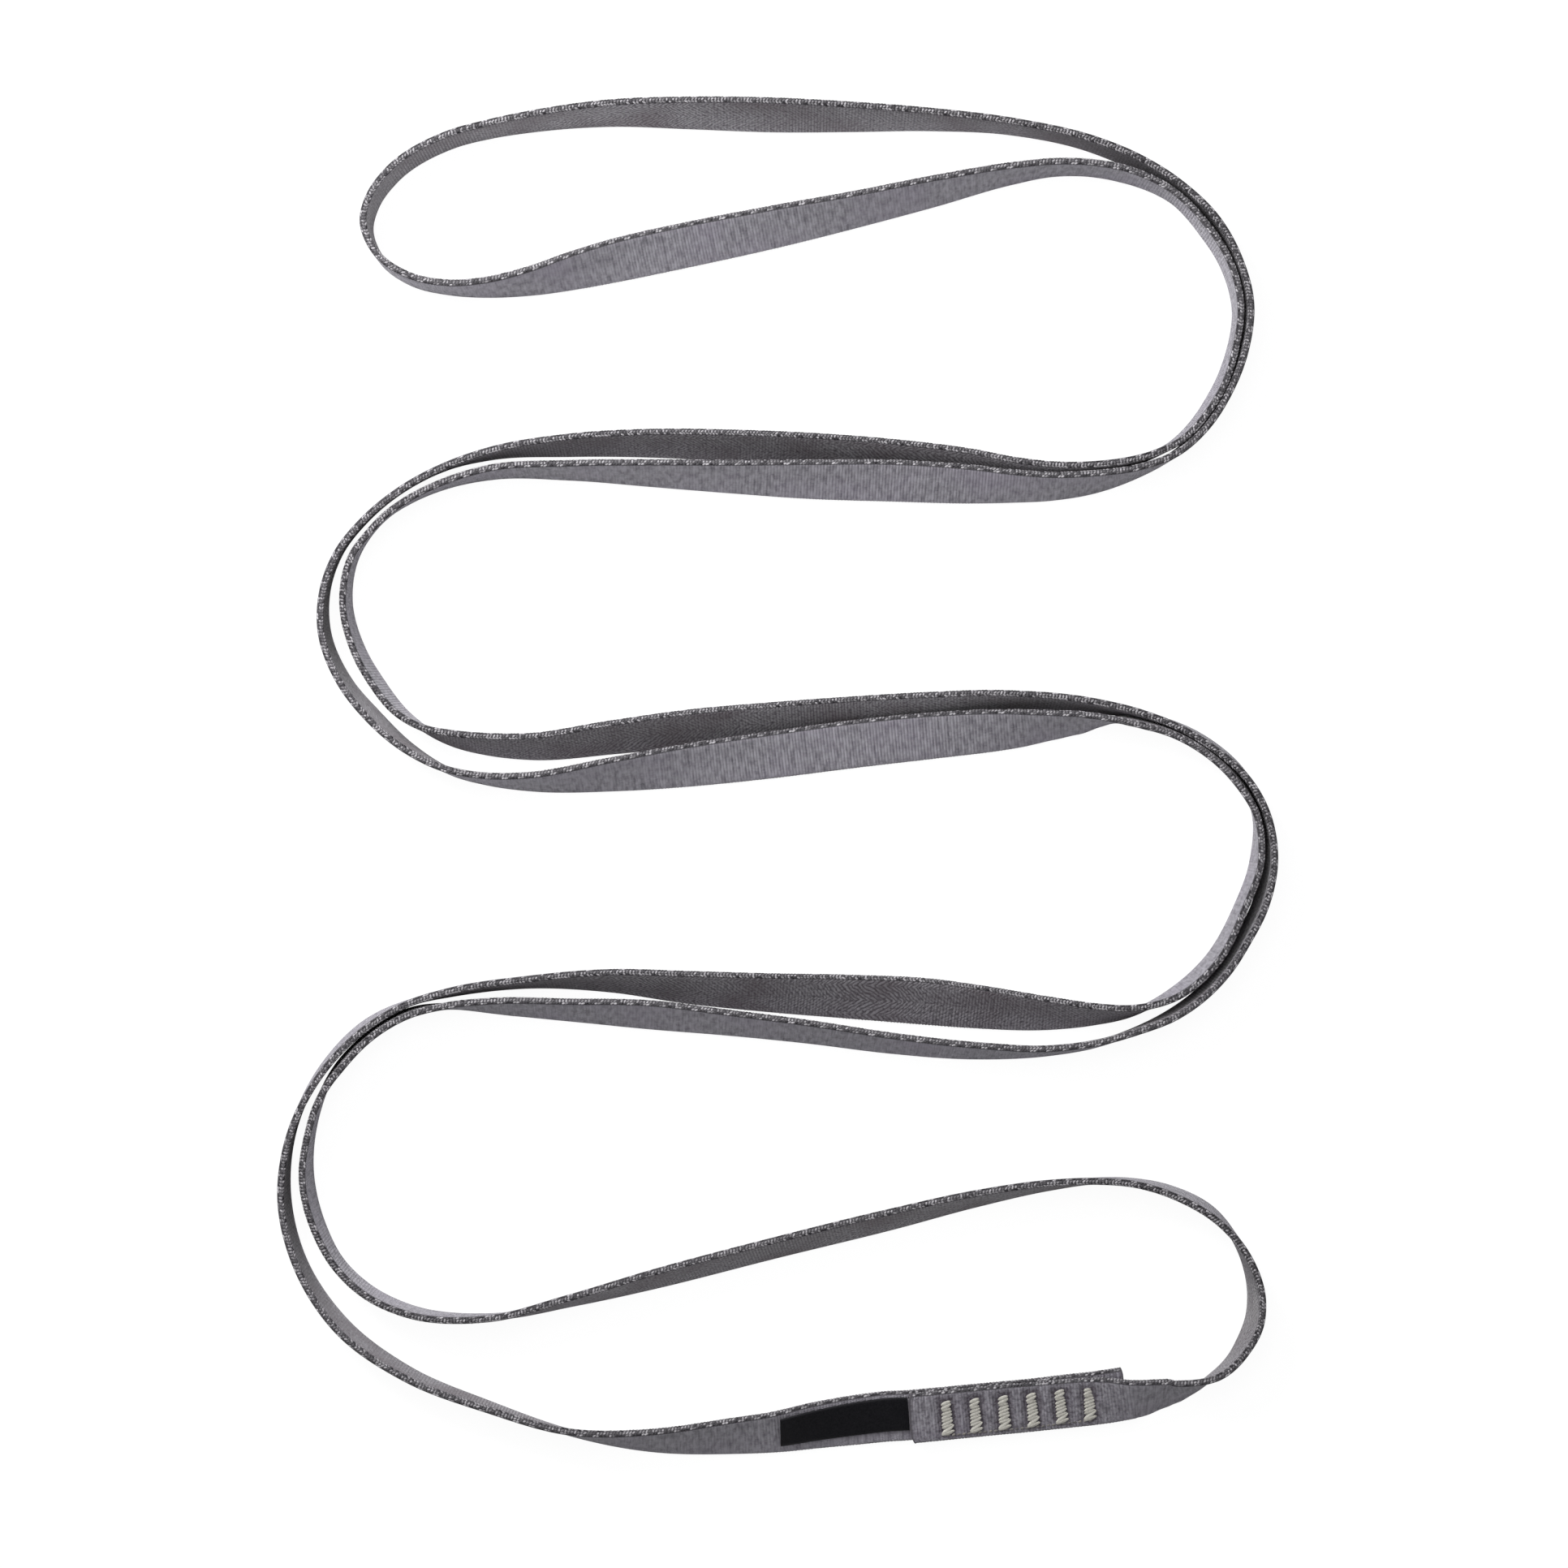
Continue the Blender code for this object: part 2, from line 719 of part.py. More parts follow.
    # Each group hangs from an empty on the axis that it folds about
    splice_end = strap.at(left_end).raised(rise)
    hinge = splice_end.place + splice_end.tangent * LABEL_HINGE_SETBACK
    for body, names in BODY_PIECES.items():
        pivot = bpy.data.objects.new(f"{body}_pivot", None)
        if body in BODY_FOLDS:
            turn = BODY_FOLDS[body]
            pivot.location = fold_axis(
                strands[f"{turn}_outer_strand"], strands[f"{turn}_inner_strand"]
            )
        elif body == "label":
            pivot.location = hinge
        sling.objects.link(pivot)
        bpy.context.view_layer.update()
        for name in names:
            pieces[name].parent = pivot
            pieces[name].matrix_parent_inverse = pivot.matrix_world.inverted()


main()
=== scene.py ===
import bisect
import math

import bmesh
import bpy
from mathutils import Matrix, Vector


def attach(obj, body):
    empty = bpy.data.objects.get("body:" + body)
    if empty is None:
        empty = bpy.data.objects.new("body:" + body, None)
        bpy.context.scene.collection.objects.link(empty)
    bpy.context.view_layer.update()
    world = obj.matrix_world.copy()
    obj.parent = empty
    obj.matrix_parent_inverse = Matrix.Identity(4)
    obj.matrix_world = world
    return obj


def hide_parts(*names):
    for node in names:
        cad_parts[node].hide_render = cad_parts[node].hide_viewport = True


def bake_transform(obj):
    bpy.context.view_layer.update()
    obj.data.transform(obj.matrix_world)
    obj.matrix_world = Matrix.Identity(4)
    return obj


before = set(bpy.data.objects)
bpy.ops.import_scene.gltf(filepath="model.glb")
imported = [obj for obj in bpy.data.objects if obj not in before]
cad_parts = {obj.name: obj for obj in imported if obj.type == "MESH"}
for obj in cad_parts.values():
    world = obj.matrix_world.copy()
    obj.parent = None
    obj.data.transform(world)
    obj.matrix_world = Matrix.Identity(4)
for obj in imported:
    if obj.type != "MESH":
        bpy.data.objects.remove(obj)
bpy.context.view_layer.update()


# The camera looks straight down on the sling from nearly a metre above the middle of the
# table, as in the photograph.
CAMERA_PLACE = (0.0023, -0.0010, 0.9375)
CAMERA_LENS = 65.2
CAMERA_SENSOR = 36.0


def new_object(name, data):
    """An object at the origin, put into the scene."""
    made = bpy.data.objects.new(name, data)
    bpy.context.scene.collection.objects.link(made)
    return made


camera_data = bpy.data.cameras.new("camera")
camera_data.sensor_width = CAMERA_SENSOR
camera_data.lens = CAMERA_LENS
camera = new_object("camera", camera_data)
camera.location = CAMERA_PLACE
bpy.context.scene.camera = camera
bpy.context.scene.view_settings.view_transform = "Standard"


# The white table under the sling, and the light: a window close by to the north-west, a lamp
# overhead and an even white room.
FLOOR_SIZE = 4.0
FLOOR_DROP = 0.0002
FLOOR_COLOUR = (0.86, 0.86, 0.87)
FLOOR_GLOW = 1.12
FLOOR_GLOW_SHARE = 0.84
LAMPS = (
    ("window", (-0.35, 0.40, 0.50), 0.35, 4.6),
    ("overhead_lamp", (-0.05, 0.15, 0.70), 0.35, 1.4),
)
ROOM_LEVEL = 0.235


def new_material(name):
    """An empty node material, with its tree and output node."""
    material = bpy.data.materials.new(name)
    material.use_nodes = True
    tree = material.node_tree
    tree.nodes.clear()
    output = tree.nodes.new("ShaderNodeOutputMaterial")
    return material, tree, output


def add_node(tree, kind, values=(), **settings):
    """A node with its settings made and its inputs given as plain values or as sockets."""
    node = tree.nodes.new(kind)
    for key, value in settings.items():
        setattr(node, key, value)
    for key, value in dict(values).items():
        socket = node.inputs[key]
        if isinstance(value, bpy.types.NodeSocket):
            tree.links.new(value, socket)
        else:
            socket.default_value = value
    return node


def maths(tree, operation, *values, **settings):
    """One arithmetic node, and the value that comes out of it."""
    values = dict(enumerate(values))
    return add_node(tree, "ShaderNodeMath", values, operation=operation, **settings).outputs[0]


def seen_directly(tree):
    """1 where the camera looks at the surface itself, and 0 for light that bounces off it."""
    return add_node(tree, "ShaderNodeLightPath").outputs["Is Camera Ray"]


floor_material, tree, output = new_material("white_table")
paint = add_node(tree, "ShaderNodeBsdfDiffuse", {"Color": (*FLOOR_COLOUR, 1)})
glow = add_node(tree, "ShaderNodeEmission", {"Strength": FLOOR_GLOW})
share = maths(tree, "MULTIPLY", seen_directly(tree), FLOOR_GLOW_SHARE)
mix = add_node(tree, "ShaderNodeMixShader", {0: share, 1: paint.outputs[0], 2: glow.outputs[0]})
tree.links.new(mix.outputs[0], output.inputs["Surface"])

floor_mesh = bpy.data.meshes.new("table")
half = FLOOR_SIZE / 2
corners = [(-half, -half), (half, -half), (half, half), (-half, half)]
floor_mesh.from_pydata([(x, y, -FLOOR_DROP) for x, y in corners], [], [(0, 1, 2, 3)])
floor_mesh.materials.append(floor_material)
new_object("table", floor_mesh)

for name, place, size, power in LAMPS:
    lamp_data = bpy.data.lights.new(name, "AREA")
    lamp_data.shape = "DISK"
    lamp_data.size = size
    lamp_data.energy = power
    lamp = new_object(name, lamp_data)
    lamp.location = place
    lamp.rotation_euler = (-Vector(place)).to_track_quat("-Z", "Y").to_euler()

room = bpy.data.worlds.new("room")
room.use_nodes = True
tree = room.node_tree
level = maths(tree, "MULTIPLY_ADD", seen_directly(tree), 1 - ROOM_LEVEL, ROOM_LEVEL)
background = tree.nodes["Background"]
background.inputs["Color"].default_value = (1, 1, 1, 1)
tree.links.new(level, background.inputs["Strength"])
bpy.context.scene.world = room


# The strap: one length of grey nylon webbing, 18 mm wide, woven flat with fine cross ribs on
# one face and a darker herringbone on the other. It stands on its edge in the turns and
# leans over in the runs, and its two ends are sewn together.
WEBBING_WIDTH = 0.018
WEBBING_THICKNESS = 0.0026
EDGE_FLAT_SHARE = 0.5
EDGE_ROUND_SHARE = 0.35
LAYER_GAP = 0.0003
ROUTE_STEP = 0.001
BIGHT_REACH = 0.002

# The splice: its middle on the floor plan, which way the strap runs there and how it leans
SPLICE_MIDDLE = (0.0788, -0.2049)
SPLICE_HEADING = 185
SPLICE_LEAN = -79
SPLICE_LENGTH = 0.0712
SPLICE_EASE = 0.0025
SPLICE_STANDOFF = 0.0005

# How the splice eases out of its flat place towards the bight, as (length, lean in degrees,
# way to the left): the under layer from its melted end, the top layer from where it leaves
# the bight
TAB_SETTLING = (
    (0, 3, -0.0007), (0.012, 7, -0.0004), (0.036, 5, 0.0003), (0.0712, 5, 0.0005),
    (0.080, 3, 0.0002), (0.105, 0, 0),
)
TOP_SETTLING = (
    (-0.055, 0, 0), (-0.044, 0, -0.0004), (-0.030, 0, 0.0004), (-0.024, -2, 0.0006),
    (-0.017, -2, 0.00035), (-0.014, 1, 0.0002), (-0.010, 13, 0.0001), (-0.006, 24, 0.0001),
    (-0.003, 28, 0), (0, 24, 0), (0.006, 15, -0.0001), (0.014, 9, -0.0001),
    (0.036, 6, 0.0001), (0.0720, 5, 0.0004),
)

# How some strands settle against their neighbours, in the same way, by length from where the
# stretch starts
STRAND_SETTLING = {
    "run_3_upper_strand": (
        (0.150, 0, 0), (0.180, 3, -0.0004), (0.212, 4, -0.0006), (0.235, 1, -0.0002),
        (0.250, 0, 0),
    ),
    "turn_1_inner_strand": (
        (0.010, 0, 0), (0.022, -2, -0.0003), (0.030, -4, -0.0005), (0.050, -4, -0.0004),
        (0.066, 1, -0.0002), (0.080, 3, -0.0002), (0.105, 3, -0.0002), (0.120, 5, -0.0004),
        (0.140, 0, 0),
    ),
    "turn_3_inner_strand": (
        (0.080, 0, 0), (0.100, 5, -0.0009), (0.115, 7, -0.0012), (0.130, 7, -0.0011),
        (0.142, 9, -0.0013), (0.150, 11, -0.0016), (0.157, 5, -0.0011), (0.164, -1, -0.0005),
        (0.174, 0, -0.0002), (0.184, 0, 0),
    ),
    "turn_4_inner_strand": (
        (-0.020, 0, 0), (0, 4, -0.0005), (0.021, 5, -0.0004), (0.042, 4, 0), (0.058, 0, 0),
    ),
}

# The strap's middle line after it leaves the splice, once round the whole loop and back, as
# (x, y, lean) in metres and in degrees from upright
LOOP = (
    ("run_5_lower_strand", (
        (0.0258, -0.2100, -75), (0.0128, -0.2117, -66), (-0.0007, -0.2137, -56), (-0.0142, -0.2148, -49),
        (-0.0412, -0.2159, -32), (-0.0677, -0.2130, -14), (-0.0942, -0.2047, -7),
    )),
    ("turn_4_outer_strand", (
        (-0.1207, -0.1940, -3), (-0.1422, -0.1784, 0), (-0.1560, -0.1575, -2), (-0.1611, -0.1360, -2),
        (-0.1587, -0.1150, -5), (-0.1479, -0.0935, -7), (-0.1340, -0.0797, -6), (-0.1203, -0.0727, 1),
        (-0.1069, -0.0692, 6),
    )),
    ("run_4_upper_strand", (
        (-0.0807, -0.0658, 11), (-0.0547, -0.0654, 24), (-0.0285, -0.0677, 37), (-0.0022, -0.0695, 46),
        (0.0244, -0.0709, 55), (0.0504, -0.0726, 60), (0.0633, -0.0739, 55), (0.0898, -0.0762, 37),
        (0.1032, -0.0764, 24),
    )),
    ("turn_3_inner_strand", (
        (0.1167, -0.0751, 11), (0.1295, -0.0700, -1), (0.1423, -0.0588, -3), (0.1516, -0.0416, 0),
        (0.1571, -0.0250, 0), (0.1554, -0.0098, 4), (0.1486, 0.0008, 5), (0.1393, 0.0090, 2),
        (0.1297, 0.0144, 0), (0.1164, 0.0180, -3), (0.1031, 0.0186, -14),
    )),
    ("run_3_lower_strand", (
        (0.0901, 0.0180, -28), (0.0773, 0.0170, -42), (0.0515, 0.0149, -55), (0.0255, 0.0121, -58),
        (-0.0012, 0.0086, -56), (-0.0277, 0.0053, -49), (-0.0537, 0.0021, -34), (-0.0807, -0.0003, -15),
        (-0.0941, 0.0005, -8),
    )),
    ("turn_2_outer_strand", (
        (-0.1073, 0.0034, -3), (-0.1201, 0.0104, 3), (-0.1327, 0.0218, 7), (-0.1413, 0.0324, 4),
        (-0.1480, 0.0490, -1), (-0.1474, 0.0640, -5), (-0.1432, 0.0748, -7), (-0.1347, 0.0855, -8),
        (-0.1210, 0.0964, -8), (-0.1077, 0.1030, -6), (-0.0940, 0.1069, 0),
    )),
    ("run_2_upper_strand", (
        (-0.0677, 0.1097, 13), (-0.0414, 0.1104, 20), (-0.0153, 0.1096, 25), (0.0111, 0.1080, 30),
        (0.0373, 0.1057, 33), (0.0633, 0.1028, 30), (0.0768, 0.1011, 22), (0.0903, 0.1006, 14),
        (0.1033, 0.1018, 6),
    )),
    ("turn_1_inner_strand", (
        (0.1165, 0.1046, 0), (0.1293, 0.1104, 0), (0.1431, 0.1267, 0), (0.1487, 0.1410, 0),
        (0.1505, 0.1550, 0), (0.1466, 0.1695, 0), (0.1398, 0.1802, 0), (0.1295, 0.1908, 0),
        (0.1165, 0.1975, 0), (0.1033, 0.2003, 0),
    )),
    ("run_1_lower_strand", (
        (0.0903, 0.2005, -2), (0.0773, 0.1986, -7), (0.0513, 0.1928, -19), (0.0251, 0.1868, -27),
        (-0.0012, 0.1813, -36), (-0.0272, 0.1760, -40), (-0.0537, 0.1702, -37), (-0.0667, 0.1669, -29),
        (-0.0802, 0.1635, -17), (-0.0939, 0.1614, -7),
    )),
    ("head_bight", (
        (-0.1071, 0.1613, -1), (-0.1203, 0.1643, 0), (-0.1295, 0.1707, 0), (-0.1342, 0.1820, 0),
        (-0.1320, 0.1900, 0), (-0.1261, 0.1980, 0), (-0.1072, 0.2095, 0), (-0.0939, 0.2131, 1),
    )),
    ("run_1_upper_strand", (
        (-0.0807, 0.2155, 4), (-0.0544, 0.2183, 11), (-0.0283, 0.2184, 18), (-0.0020, 0.2178, 21),
        (0.0243, 0.2171, 15), (0.0506, 0.2162, 6), (0.0771, 0.2139, -1), (0.1034, 0.2081, -2),
    )),
    ("turn_1_outer_strand", (
        (0.1165, 0.2027, -1), (0.1299, 0.1944, 0), (0.1434, 0.1813, 0), (0.1498, 0.1695, 0),
        (0.1536, 0.1550, 0), (0.1519, 0.1398, 0), (0.1463, 0.1254, 0), (0.1397, 0.1154, 1),
        (0.1297, 0.1066, 2), (0.1167, 0.1008, -5), (0.1036, 0.0977, -15),
    )),
    ("run_2_lower_strand", (
        (0.0903, 0.0963, -21), (0.0773, 0.0964, -27), (0.0636, 0.0971, -35), (0.0376, 0.0983, -40),
        (0.0113, 0.0987, -36), (-0.0151, 0.0995, -27), (-0.0414, 0.1006, -19), (-0.0677, 0.1015, -10),
        (-0.0939, 0.1008, -3),
    )),
    ("turn_2_inner_strand", (
        (-0.1072, 0.0976, 2), (-0.1205, 0.0918, 6), (-0.1277, 0.0870, 8), (-0.1338, 0.0805, 8),
        (-0.1379, 0.0743, 5), (-0.1409, 0.0590, 1), (-0.1369, 0.0428, -3), (-0.1311, 0.0325, -5),
        (-0.1226, 0.0220, -3), (-0.1139, 0.0164, 4), (-0.1073, 0.0142, 11), (-0.0942, 0.0119, 19),
    )),
    ("run_3_upper_strand", (
        (-0.0808, 0.0112, 24), (-0.0539, 0.0142, 33), (-0.0279, 0.0173, 38), (-0.0016, 0.0196, 38),
        (0.0248, 0.0216, 37), (0.0510, 0.0239, 30), (0.0770, 0.0260, 17), (0.1032, 0.0250, 5),
    )),
    ("turn_3_outer_strand", (
        (0.1166, 0.0229, -2), (0.1301, 0.0186, -7), (0.1436, 0.0107, -9), (0.1533, 0.0013, -7),
        (0.1590, -0.0097, -3), (0.1611, -0.0250, 2), (0.1577, -0.0414, 3), (0.1524, -0.0518, 3),
        (0.1457, -0.0624, 2), (0.1378, -0.0706, 1), (0.1297, -0.0763, 0), (0.1167, -0.0821, -5),
        (0.1036, -0.0861, -8),
    )),
    ("run_4_lower_strand", (
        (0.0903, -0.0881, -10), (0.0637, -0.0882, -18), (0.0372, -0.0858, -22), (0.0108, -0.0822, -25),
        (-0.0156, -0.0792, -28), (-0.0417, -0.0766, -32), (-0.0679, -0.0750, -24), (-0.0939, -0.0737, -16),
        (-0.1070, -0.0741, -9),
    )),
    ("turn_4_inner_strand", (
        (-0.1202, -0.0764, -2), (-0.1336, -0.0842, 1), (-0.1418, -0.0920, 4), (-0.1474, -0.0998, 4),
        (-0.1526, -0.1151, 3), (-0.1539, -0.1280, 0), (-0.1495, -0.1469, 1), (-0.1437, -0.1576, 3),
        (-0.1337, -0.1671, 3), (-0.1205, -0.1733, 4), (-0.0939, -0.1755, 8),
    )),
    ("run_5_upper_strand", (
        (-0.0671, -0.1699, 16), (-0.0405, -0.1631, 24), (-0.0011, -0.1529, 26), (0.0384, -0.1432, 26),
        (0.0645, -0.1368, 21), (0.0903, -0.1321, 13),
    )),
    ("tail_bight", (
        (0.1033, -0.1309, 8), (0.1164, -0.1314, 4), (0.1297, -0.1347, -2), (0.1433, -0.1422, -5),
        (0.1523, -0.1535, 0), (0.1568, -0.1690, 5), (0.1558, -0.1781, 4), (0.1499, -0.1890, -3),
        (0.1433, -0.1942, -9), (0.1367, -0.1972, -18), (0.1299, -0.1996, -32),
    )),
)


def rest_height(lean):
    """How high the middle of the webbing lies when it leans by so much and touches the floor."""
    half_thick = WEBBING_THICKNESS / 2
    half_width = WEBBING_WIDTH / 2
    shoulder = half_width - WEBBING_THICKNESS * EDGE_ROUND_SHARE
    flat = half_thick * EDGE_FLAT_SHARE
    corners = [(half_thick, shoulder), (flat, half_width)]
    angle = math.radians(lean)
    return max(abs(x * math.sin(angle)) + abs(y * math.cos(angle)) for x, y in corners)


class Station:
    """One place on the strap's middle line, with the way the strap runs and leans there."""

    def __init__(self, place, tangent, lean):
        self.place = place
        self.tangent = tangent.normalized()
        left = Vector((-self.tangent.y, self.tangent.x, 0)).normalized()
        up = self.tangent.cross(left)
        angle = math.radians(lean)
        self.normal = left * math.cos(angle) - up * math.sin(angle)
        self.across = left * math.sin(angle) + up * math.cos(angle)

    def point(self, out, across):
        """A point so far out of the left face and so far across the strap."""
        return self.place + self.normal * out + self.across * across


def smooth_route(controls):
    """A smooth curve through control points (x, y, lean, lift), and where each one lies."""
    points = [Vector(point) for point in controls]
    spans = [(b.xy - a.xy).length for a, b in zip(points, points[1:])]
    slopes = [(points[1] - points[0]) / spans[0]]
    for i in range(1, len(points) - 1):
        before = (points[i] - points[i - 1]) / spans[i - 1]
        after = (points[i + 1] - points[i]) / spans[i]
        share = spans[i - 1] / (spans[i - 1] + spans[i])
        slopes.append(before * (1 - share) + after * share)
    slopes.append((points[-1] - points[-2]) / spans[-1])
    samples = []
    marks = []
    for i, span in enumerate(spans):
        marks.append(len(samples))
        steps = max(2, math.ceil(span / ROUTE_STEP))
        for step in range(steps):
            t = step / steps
            samples.append(
                points[i] * (2 * t**3 - 3 * t**2 + 1)
                + slopes[i] * span * (t**3 - 2 * t**2 + t)
                + points[i + 1] * (3 * t**2 - 2 * t**3)
                + slopes[i + 1] * span * (t**3 - t**2)
            )
    marks.append(len(samples))
    samples.append(points[-1])
    return samples, marks


class Strap:
    """The whole strap along its route, found by length from its start."""

    def __init__(self, controls):
        samples, marks = smooth_route(controls)
        self.leans = [sample[2] for sample in samples]
        self.lifts = [max(0, sample[3]) for sample in samples]
        self.places = []
        for sample, lift in zip(samples, self.lifts):
            height = rest_height(sample[2]) + lift
            self.places.append(Vector((sample[0], sample[1], height)))
        self.lengths = [0]
        for a, b in zip(self.places, self.places[1:]):
            self.lengths.append(self.lengths[-1] + (b - a).length)
        self.marks = [self.lengths[mark] for mark in marks]

    def settle(self, start, steps):
        """Adds to the lean, in degrees, and moves to the left, by length from the start."""
        keys = [start + step[0] for step in steps]
        ways = [b - a for a, b in zip(self.places, self.places[1:])]
        for i, length in enumerate(self.lengths):
            if keys[0] <= length <= keys[-1]:
                j = min(max(bisect.bisect_right(keys, length), 1), len(keys) - 1)
                share = (length - keys[j - 1]) / (keys[j] - keys[j - 1])
                lean = steps[j - 1][1] + (steps[j][1] - steps[j - 1][1]) * share
                share = share * share * (3 - 2 * share)
                shift = steps[j - 1][2] + (steps[j][2] - steps[j - 1][2]) * share
                way = ways[min(i, len(ways) - 1)].xy.normalized()
                self.leans[i] += lean
                self.places[i].x -= way.y * shift
                self.places[i].y += way.x * shift
                self.places[i].z = rest_height(self.leans[i]) + self.lifts[i]

    def at(self, length):
        """The station at a length."""
        i = bisect.bisect_right(self.lengths, length) - 1
        i = min(max(i, 0), len(self.places) - 2)
        share = (length - self.lengths[i]) / (self.lengths[i + 1] - self.lengths[i])
        place = self.places[i].lerp(self.places[i + 1], share)
        lean = self.leans[i] + (self.leans[i + 1] - self.leans[i]) * share
        tangents = []
        for j in (i, i + 1):
            low = max(j - 1, 0)
            high = min(j + 1, len(self.places) - 1)
            tangents.append((self.places[high] - self.places[low]).normalized())
        return Station(place, tangents[0].lerp(tangents[1], share), lean)


def splice_control(along, layers_up):
    """A control point in the flat splice, so far along it and so many layers up."""
    angle = math.radians(SPLICE_HEADING)
    way = Vector((math.cos(angle), math.sin(angle)))
    place = Vector(SPLICE_MIDDLE) + way * along
    rest = rest_height(SPLICE_LEAN)
    low = Station(Vector((*place, rest + SPLICE_STANDOFF)), way.to_3d(), SPLICE_LEAN)
    high = low.point((WEBBING_THICKNESS + LAYER_GAP) * layers_up, 0)
    return (high.x, high.y, SPLICE_LEAN, high.z - rest)


half_splice = SPLICE_LENGTH / 2
starts = (-half_splice, 0, half_splice, half_splice + SPLICE_EASE)
ends = (-half_splice - SPLICE_EASE, -half_splice, 0, half_splice)
controls = [splice_control(along, 0) for along in starts]
for _, points in LOOP:
    controls += [(*point, 0) for point in points]
controls += [splice_control(along, 1) for along in ends]
strap = Strap(controls)
strap_end = strap.marks[-1]
left_end = strap.marks[starts.index(half_splice)]
top_start = strap.marks[ends.index(-half_splice) - len(ends)]
strap.settle(0, TAB_SETTLING)
strap.settle(top_start, TOP_SETTLING)
cuts = {}
last = len(starts) - 1
low = left_end
for name, points in LOOP:
    last += len(points)
    cuts[name] = (low, strap.marks[last])
    low = strap.marks[last]
head_low, head_high = cuts["head_bight"]
cuts["head_bight"] = (head_low - BIGHT_REACH, head_high + BIGHT_REACH)
cuts["run_1_lower_strand"] = (cuts["run_1_lower_strand"][0], head_low - BIGHT_REACH)
cuts["run_1_upper_strand"] = (head_high + BIGHT_REACH, cuts["run_1_upper_strand"][1])
cuts["tail_bight"] = (cuts["tail_bight"][0], top_start)
cuts["splice_under_layer"] = (0, left_end)
cuts["splice_top_layer"] = (top_start, strap_end)
for name, steps in STRAND_SETTLING.items():
    strap.settle(cuts[name][0], steps)

# The webbing's woven core: how closely its mesh follows the route, and its rounded edges
ROW_SPACING = 0.001
SEWN_ROW_SPACING = 0.0005
CORE_THICKNESS = 0.0023
CORE_SHOULDER = 0.0080
CORE_RIM = 0.0008
FACE_COLUMNS = 12
RIM_COLUMNS = 6

# The melted cut ends: a bead of set nylon on a slightly bowed edge with rounded corners
CUT_REACH = 0.0060
CUT_BOW = 0.0003
CUT_CORNER = 0.0010
CUT_CORNER_SHARE = 0.25
TAB_CORNER = 0.0004
CUT_BEAD = 0.0003
CUT_BEAD_REACH = 0.0012
CUT_BEAD_START_SHARE = 0.35
CUT_FACE_SHARE = 0.45
CUT_FLARE = 0.025
CUT_ROW_SHARES = (0.15, 0.35, 0.6)
FAR_FROM_CUT = 1.0

# Where the bar tacks pull the two layers of the splice together
TACK_COUNT = 6
TACK_MARGIN = 0.0122
TACK_PITCH = (SPLICE_LENGTH - 2 * TACK_MARGIN) / (TACK_COUNT - 1)
TACK_LENGTH = 0.0115
TACK_WIDTH = 0.0034
DENT_REACH = 0.0014
DENT_DEPTH = 0.0005


def core_outline():
    """The core's outline round from the left face, as (out, across, side, reach).

    Side is 1 on the left face and -1 on the right, and reach is the distance from the middle
    of the face over the rounded edge.
    """
    half_thick = CORE_THICKNESS / 2
    outline = []
    for sign in (1, -1):
        for i in range(FACE_COLUMNS):
            across = CORE_SHOULDER * (2 * i / FACE_COLUMNS - 1) * sign
            outline.append((half_thick * sign, across, sign, across))
        for i in range(RIM_COLUMNS):
            angle = math.pi * i / RIM_COLUMNS
            out = half_thick * math.cos(angle) * sign
            across = (CORE_SHOULDER + CORE_RIM * math.sin(angle)) * sign
            reach = (CORE_SHOULDER + half_thick * min(angle, math.pi - angle)) * sign
            outline.append((out, across, math.cos(angle) * sign, reach))
    return outline


def cut_setback(across, corner):
    """How far the melted end lies back from square, so far across the strap."""
    share = abs(across / (CORE_SHOULDER + CORE_RIM))
    rounding = max(0, share - 1 + CUT_CORNER_SHARE) / CUT_CORNER_SHARE
    return CUT_BOW * share**2 + corner * rounding**2


def tack_dent(low, high, length, across):
    """How deep the webbing is pulled in beside the bar tacks, from 0 to 1."""
    if 0 in (low, high):
        along = length
    elif strap_end in (low, high):
        along = SPLICE_LENGTH - (strap_end - length)
    else:
        return 0
    depth = 0
    for number in range(TACK_COUNT):
        middle = TACK_MARGIN + number * TACK_PITCH
        beside = max(0, abs(along - middle) - TACK_WIDTH / 2)
        beyond = max(0, abs(across) - TACK_LENGTH / 2)
        depth = max(depth, math.exp(-((beside / DENT_REACH) ** 2 + (beyond / DENT_REACH) ** 2)))
    return depth


def strap_point(low, high, length, out, across):
    """A point of the strap, drawn back and thickened near a melted end."""
    for cut_at, way, corner in ((0, 1, TAB_CORNER), (strap_end, -1, CUT_CORNER)):
        if cut_at in (low, high):
            depth = (length - cut_at) * way
            if depth < CUT_REACH:
                length += cut_setback(across, corner) * (1 - depth / CUT_REACH) * way
            if depth < CUT_BEAD_REACH:
                share = depth / CUT_BEAD_REACH
                swell = math.sin(math.pi * min(1, share + CUT_BEAD_START_SHARE))
                out *= 1 + swell * CUT_BEAD * 2 / CORE_THICKNESS
                across *= 1 + swell * CUT_FLARE
                if share == 0:
                    out *= CUT_FACE_SHARE
    dent = tack_dent(low, high, length, across)
    out *= 1 - dent * DENT_DEPTH * 2 / CORE_THICKNESS
    return strap.at(length).point(out, across)


def row_lengths(low, high):
    """Where the mesh has its rows, closer beside the splice and a melted end."""
    spacing = ROW_SPACING
    if high in (left_end, top_start, strap_end):
        spacing = SEWN_ROW_SPACING
    count = max(2, math.ceil((high - low) / spacing))
    lengths = [low + (high - low) * i / count for i in range(count + 1)]
    for cut_at, way in ((0, 1), (strap_end, -1)):
        if cut_at in (low, high):
            lengths += [cut_at + way * CUT_BEAD_REACH * share for share in CUT_ROW_SHARES]
    return sorted(set(lengths))


